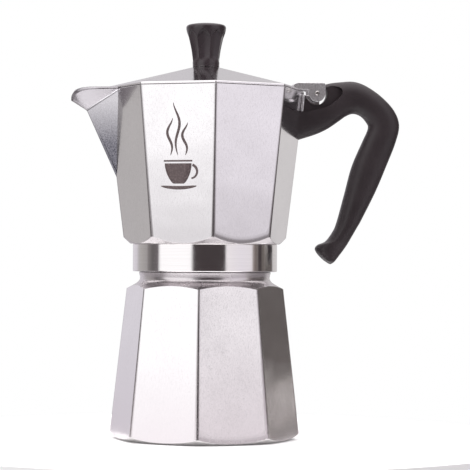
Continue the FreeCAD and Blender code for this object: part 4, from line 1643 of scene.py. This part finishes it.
def kept_parts(finishes: Finishes) -> list[Kept]:
    """The machined parts and their finishes."""
    spun, steel, brass = finishes.spun, finishes.steel, finishes.brass
    return [
        Kept("funnel", Body.FUNNEL, Slot.SPUN, spun),
        Kept("funnel_disc", Body.FUNNEL, Slot.SPUN, spun),
        Kept("filter_plate", Body.FILTER, Slot.SPUN, spun),
        Kept("gasket", Body.FILTER, Slot.RUBBER, finishes.rubber),
        Kept("riser_column", Body.COLLECTOR, Slot.SPUN, finishes.inside),
        Kept("hinge_pin", Body.COLLECTOR, Slot.STEEL, steel),
        Kept("handle_peg", Body.COLLECTOR, Slot.STEEL, steel),
        Kept("knob_insert", Body.LID, Slot.BRASS, brass),
        Kept("knob_washer", Body.LID, Slot.STEEL, steel),
        Kept("knob_screw", Body.LID, Slot.STEEL, steel),
        Kept("valve_body", Body.BOILER, Slot.BRASS, brass),
        Kept("valve_seat", Body.BOILER, Slot.BRASS, brass),
        Kept("valve_washer", Body.BOILER, Slot.RUBBER, finishes.rubber),
        Kept("valve_plunger", Body.PLUNGER, Slot.BRASS, brass),
    ]


# Studio ------------------------------------------------------------------------------------------------


@dataclass
class Studio:
    """A white table, a ring of pale screens and black flags round it, and the camera."""

    heading: float = -95.6
    distance: float = 1.47
    eye_height: float = 0.1269
    focal: float = 160.9
    shift: tuple[float, float] = (0.064, 0.047)
    roll: float = 0.32
    table_radius: float = 0.235

    def screens(self) -> list[tuple[float, Triple]]:
        """What stands round the table, by direction.

        Returns:
            Rows of (degrees to the right of the camera, brightness of the screen there).
        """
        white, dark = (1.27, 1.26, 1.27), (0.055, 0.044, 0.046)
        return [
            (-180, (0.62, 0.60, 0.62)), (-160, (0.78, 0.75, 0.80)), (-140, (0.74, 0.71, 0.76)),
            (-130, (0.52, 0.50, 0.50)), (-120, (0.48, 0.46, 0.45)), (-105, (0.40, 0.38, 0.38)),
            (-103, (0.27, 0.25, 0.25)), (-92, (0.14, 0.13, 0.13)), (-80, (0.17, 0.15, 0.16)),
            (-75, white), (-22, white), (-18, dark), (32, dark),
            (34, (1.02, 0.98, 1.00)), (46, (0.96, 0.92, 0.96)), (60, (0.93, 0.89, 0.95)),
            (80, (0.92, 0.88, 0.92)), (83, (0.34, 0.29, 0.27)), (88, (0.17, 0.14, 0.13)),
            (93, (0.24, 0.21, 0.20)), (94, dark), (101, dark), (103, (0.16, 0.14, 0.13)),
            (112, (0.16, 0.14, 0.13)), (114, (0.075, 0.065, 0.06)), (134, (0.11, 0.095, 0.09)),
            (139, (0.66, 0.64, 0.64)), (160, (0.68, 0.66, 0.66)), (180, (0.62, 0.60, 0.62)),
        ]

    def world(self) -> None:
        """Paints the screens on the world and leaves a plain white backdrop for the camera."""
        world = bpy.data.worlds.new("studio")
        bpy.context.scene.world = world
        world.use_nodes = True
        world.node_tree.nodes.clear()
        nodes = Nodes(world.node_tree)
        turn = nodes.add("ShaderNodeMapping", vector_type="POINT")
        turn.inputs["Rotation"].default_value = (0.0, 0.0, -math.radians(self.heading))
        nodes.link(nodes.add("ShaderNodeTexCoord").outputs["Generated"], turn.inputs["Vector"])
        split = nodes.add("ShaderNodeSeparateXYZ")
        nodes.link(turn.outputs["Vector"], split.inputs["Vector"])
        angle = nodes.join(split.outputs["Y"], split.outputs["X"], "ARCTAN2")
        share = nodes.remap(angle, -math.pi, math.pi, 0.0, 1.0)
        ramp = nodes.add("ShaderNodeValToRGB")
        stops = ramp.color_ramp.elements
        while len(stops) > 1:
            stops.remove(stops[-1])
        for index, (degrees, colour) in enumerate(self.screens()):
            stop = stops[0] if index == 0 else stops.new((degrees + 180) / 360)
            stop.position = (degrees + 180) / 360
            stop.color = (*colour, 1.0)
        nodes.link(share, ramp.inputs["Fac"])

        def level(low: float, high: float, first: float, second: float) -> Socket:
            """Maps the rise of a direction from low..high to first..second."""
            return nodes.remap(split.outputs["Z"], low, high, first, second)

        def product(first: Socket, second: Socket) -> Socket:
            """Multiplies two values."""
            return nodes.join(first, second, "MULTIPLY")

        dusk = nodes.blend(level(-0.190, -0.150, 0.58, 0.03), ramp.outputs["Color"], (0.40, 0.37, 0.39))
        low_rise = product(level(0.06, 0.10, 0.0, 0.05), level(0.125, 0.195, 1.0, 0.0))
        haze = nodes.blend(low_rise, dusk, (0.45, 0.43, 0.43))
        under_flags = product(level(0.008, 0.012, 0.0, 1.0), level(0.025, 0.028, 1.0, 0.0))
        right_hand = nodes.remap(share, 0.803, 0.808, 0.0, 1.0)
        opened = nodes.blend(product(under_flags, right_hand), haze, (0.86, 0.82, 0.79), "LIGHTEN")
        sky = nodes.blend(level(0.58, 0.85, 0.0, 1.0), opened, (1.75, 1.70, 1.72))
        seen = nodes.add("ShaderNodeBackground")
        seen.inputs["Color"].default_value = (1.0, 1.0, 1.0, 1.0)
        lit = nodes.add("ShaderNodeBackground")
        nodes.link(sky, lit.inputs["Color"])
        path = nodes.add("ShaderNodeLightPath")
        choice = nodes.add("ShaderNodeMixShader")
        nodes.link(path.outputs["Is Camera Ray"], choice.inputs["Fac"])
        nodes.link(lit.outputs[0], choice.inputs[1])
        nodes.link(seen.outputs[0], choice.inputs[2])
        nodes.link(choice.outputs[0], nodes.add("ShaderNodeOutputWorld").inputs["Surface"])

    def table(self) -> Piece:
        """A round white table top just under the foot.

        Returns:
            The table.
        """
        theta = np.linspace(0.0, math.tau, 128, endpoint=False)[None]
        radius = self.table_radius / MM * np.array([[0.0], [0.5], [1.0], [1.0], [0.0]])
        height = np.array([[-0.05], [-0.05], [-0.05], [-4.0], [-4.0]])
        sheet = NodeSheet("white_table")
        grain = sheet.noise(140.0, detail=3.0)
        tone = sheet.blend(sheet.remap(grain, 0.4, 0.6, 0.0, 1.0), (0.93, 0.93, 0.93), (0.91, 0.91, 0.91))
        sheet.paint(Base_Color=tone)
        sheet.fix(Roughness=0.75, Emission_Strength=0.05, Emission_Color=(1.0, 1.0, 1.0, 1.0))
        piece = Surface(ring_points(radius, theta, height)).build("table_top", [sheet.material])
        return piece

    def lamp(self, name: str, direction: float, lift: float, power: float, size: float) -> None:
        """A soft square lamp 1.3 m from the pot that shows in no reflection.

        Args:
            name: The lamp's name.
            direction: Degrees to the right of the camera.
            lift: Degrees above the table.
            power: Watts.
            size: Side in metres.
        """
        data = bpy.data.lights.new(name, "AREA")
        data.energy = power
        data.size = size
        lamp = placed(name, data)
        turn = math.radians(self.heading + direction)
        rise = math.radians(lift)
        away = np.array([math.cos(turn) * math.cos(rise), math.sin(turn) * math.cos(rise), math.sin(rise)])
        lamp.location = 1.3 * away + np.array([0.0, 0.0, 0.13])
        lamp.rotation_euler = (math.pi / 2 - rise, 0.0, turn + math.pi / 2)
        lamp.visible_glossy = False

    def camera(self) -> None:
        """Sets the camera at eye height, level, with the pot framed by a small shift."""
        data = bpy.data.cameras.new("camera")
        data.lens = self.focal
        data.sensor_width = 36.0
        data.shift_x, data.shift_y = self.shift
        data.clip_start, data.clip_end = 0.05, 20.0
        camera = placed("camera", data)
        turn = math.radians(self.heading)
        place = Matrix.Translation((self.distance * math.cos(turn), self.distance * math.sin(turn),
                                    self.eye_height))
        aim = Matrix.Rotation(turn + math.pi / 2, 4, "Z") @ Matrix.Rotation(math.pi / 2, 4, "X")
        camera.matrix_world = place @ aim @ Matrix.Rotation(math.radians(self.roll), 4, "Z")
        bpy.context.scene.camera = camera

    def build(self) -> None:
        """Sets the plain view transform and builds the whole studio."""
        bpy.context.scene.view_settings.view_transform = "Standard"
        self.world()
        self.table()
        self.lamp("key", -55.0, 48.0, 7.0, 0.9)
        self.lamp("fill", 60.0, 40.0, 4.0, 0.9)
        self.lamp("top", 180.0, 70.0, 6.0, 1.2)
        self.camera()


def corners(box: tuple) -> dict[str, list[float]]:
    """A box's two corners as plain lists."""
    low, high = box
    return {"low": [float(v) for v in low], "high": [float(v) for v in high]}


def main() -> None:
    """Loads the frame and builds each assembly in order."""
    logging.basicConfig(level=logging.INFO, format="%(name)s %(message)s")
    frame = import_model()
    finishes = Finishes()
    Studio().build()
    collector = Collector(finishes)
    Boiler(finishes).build()
    collector.build()
    Spout(finishes).build()
    lug = HingeLug(finishes)
    lug.build()
    lug.rib(-1)
    lug.rib(1)
    Emblem(finishes, collector).build()
    Handle(finishes, collector).build()
    Lid(finishes).build()
    Knob(finishes).build()
    for part in kept_parts(finishes):
        part.build(frame["nodes"])
    ValveSpring(finishes).build(frame["nodes"])


if __name__ == "__main__":
    main()
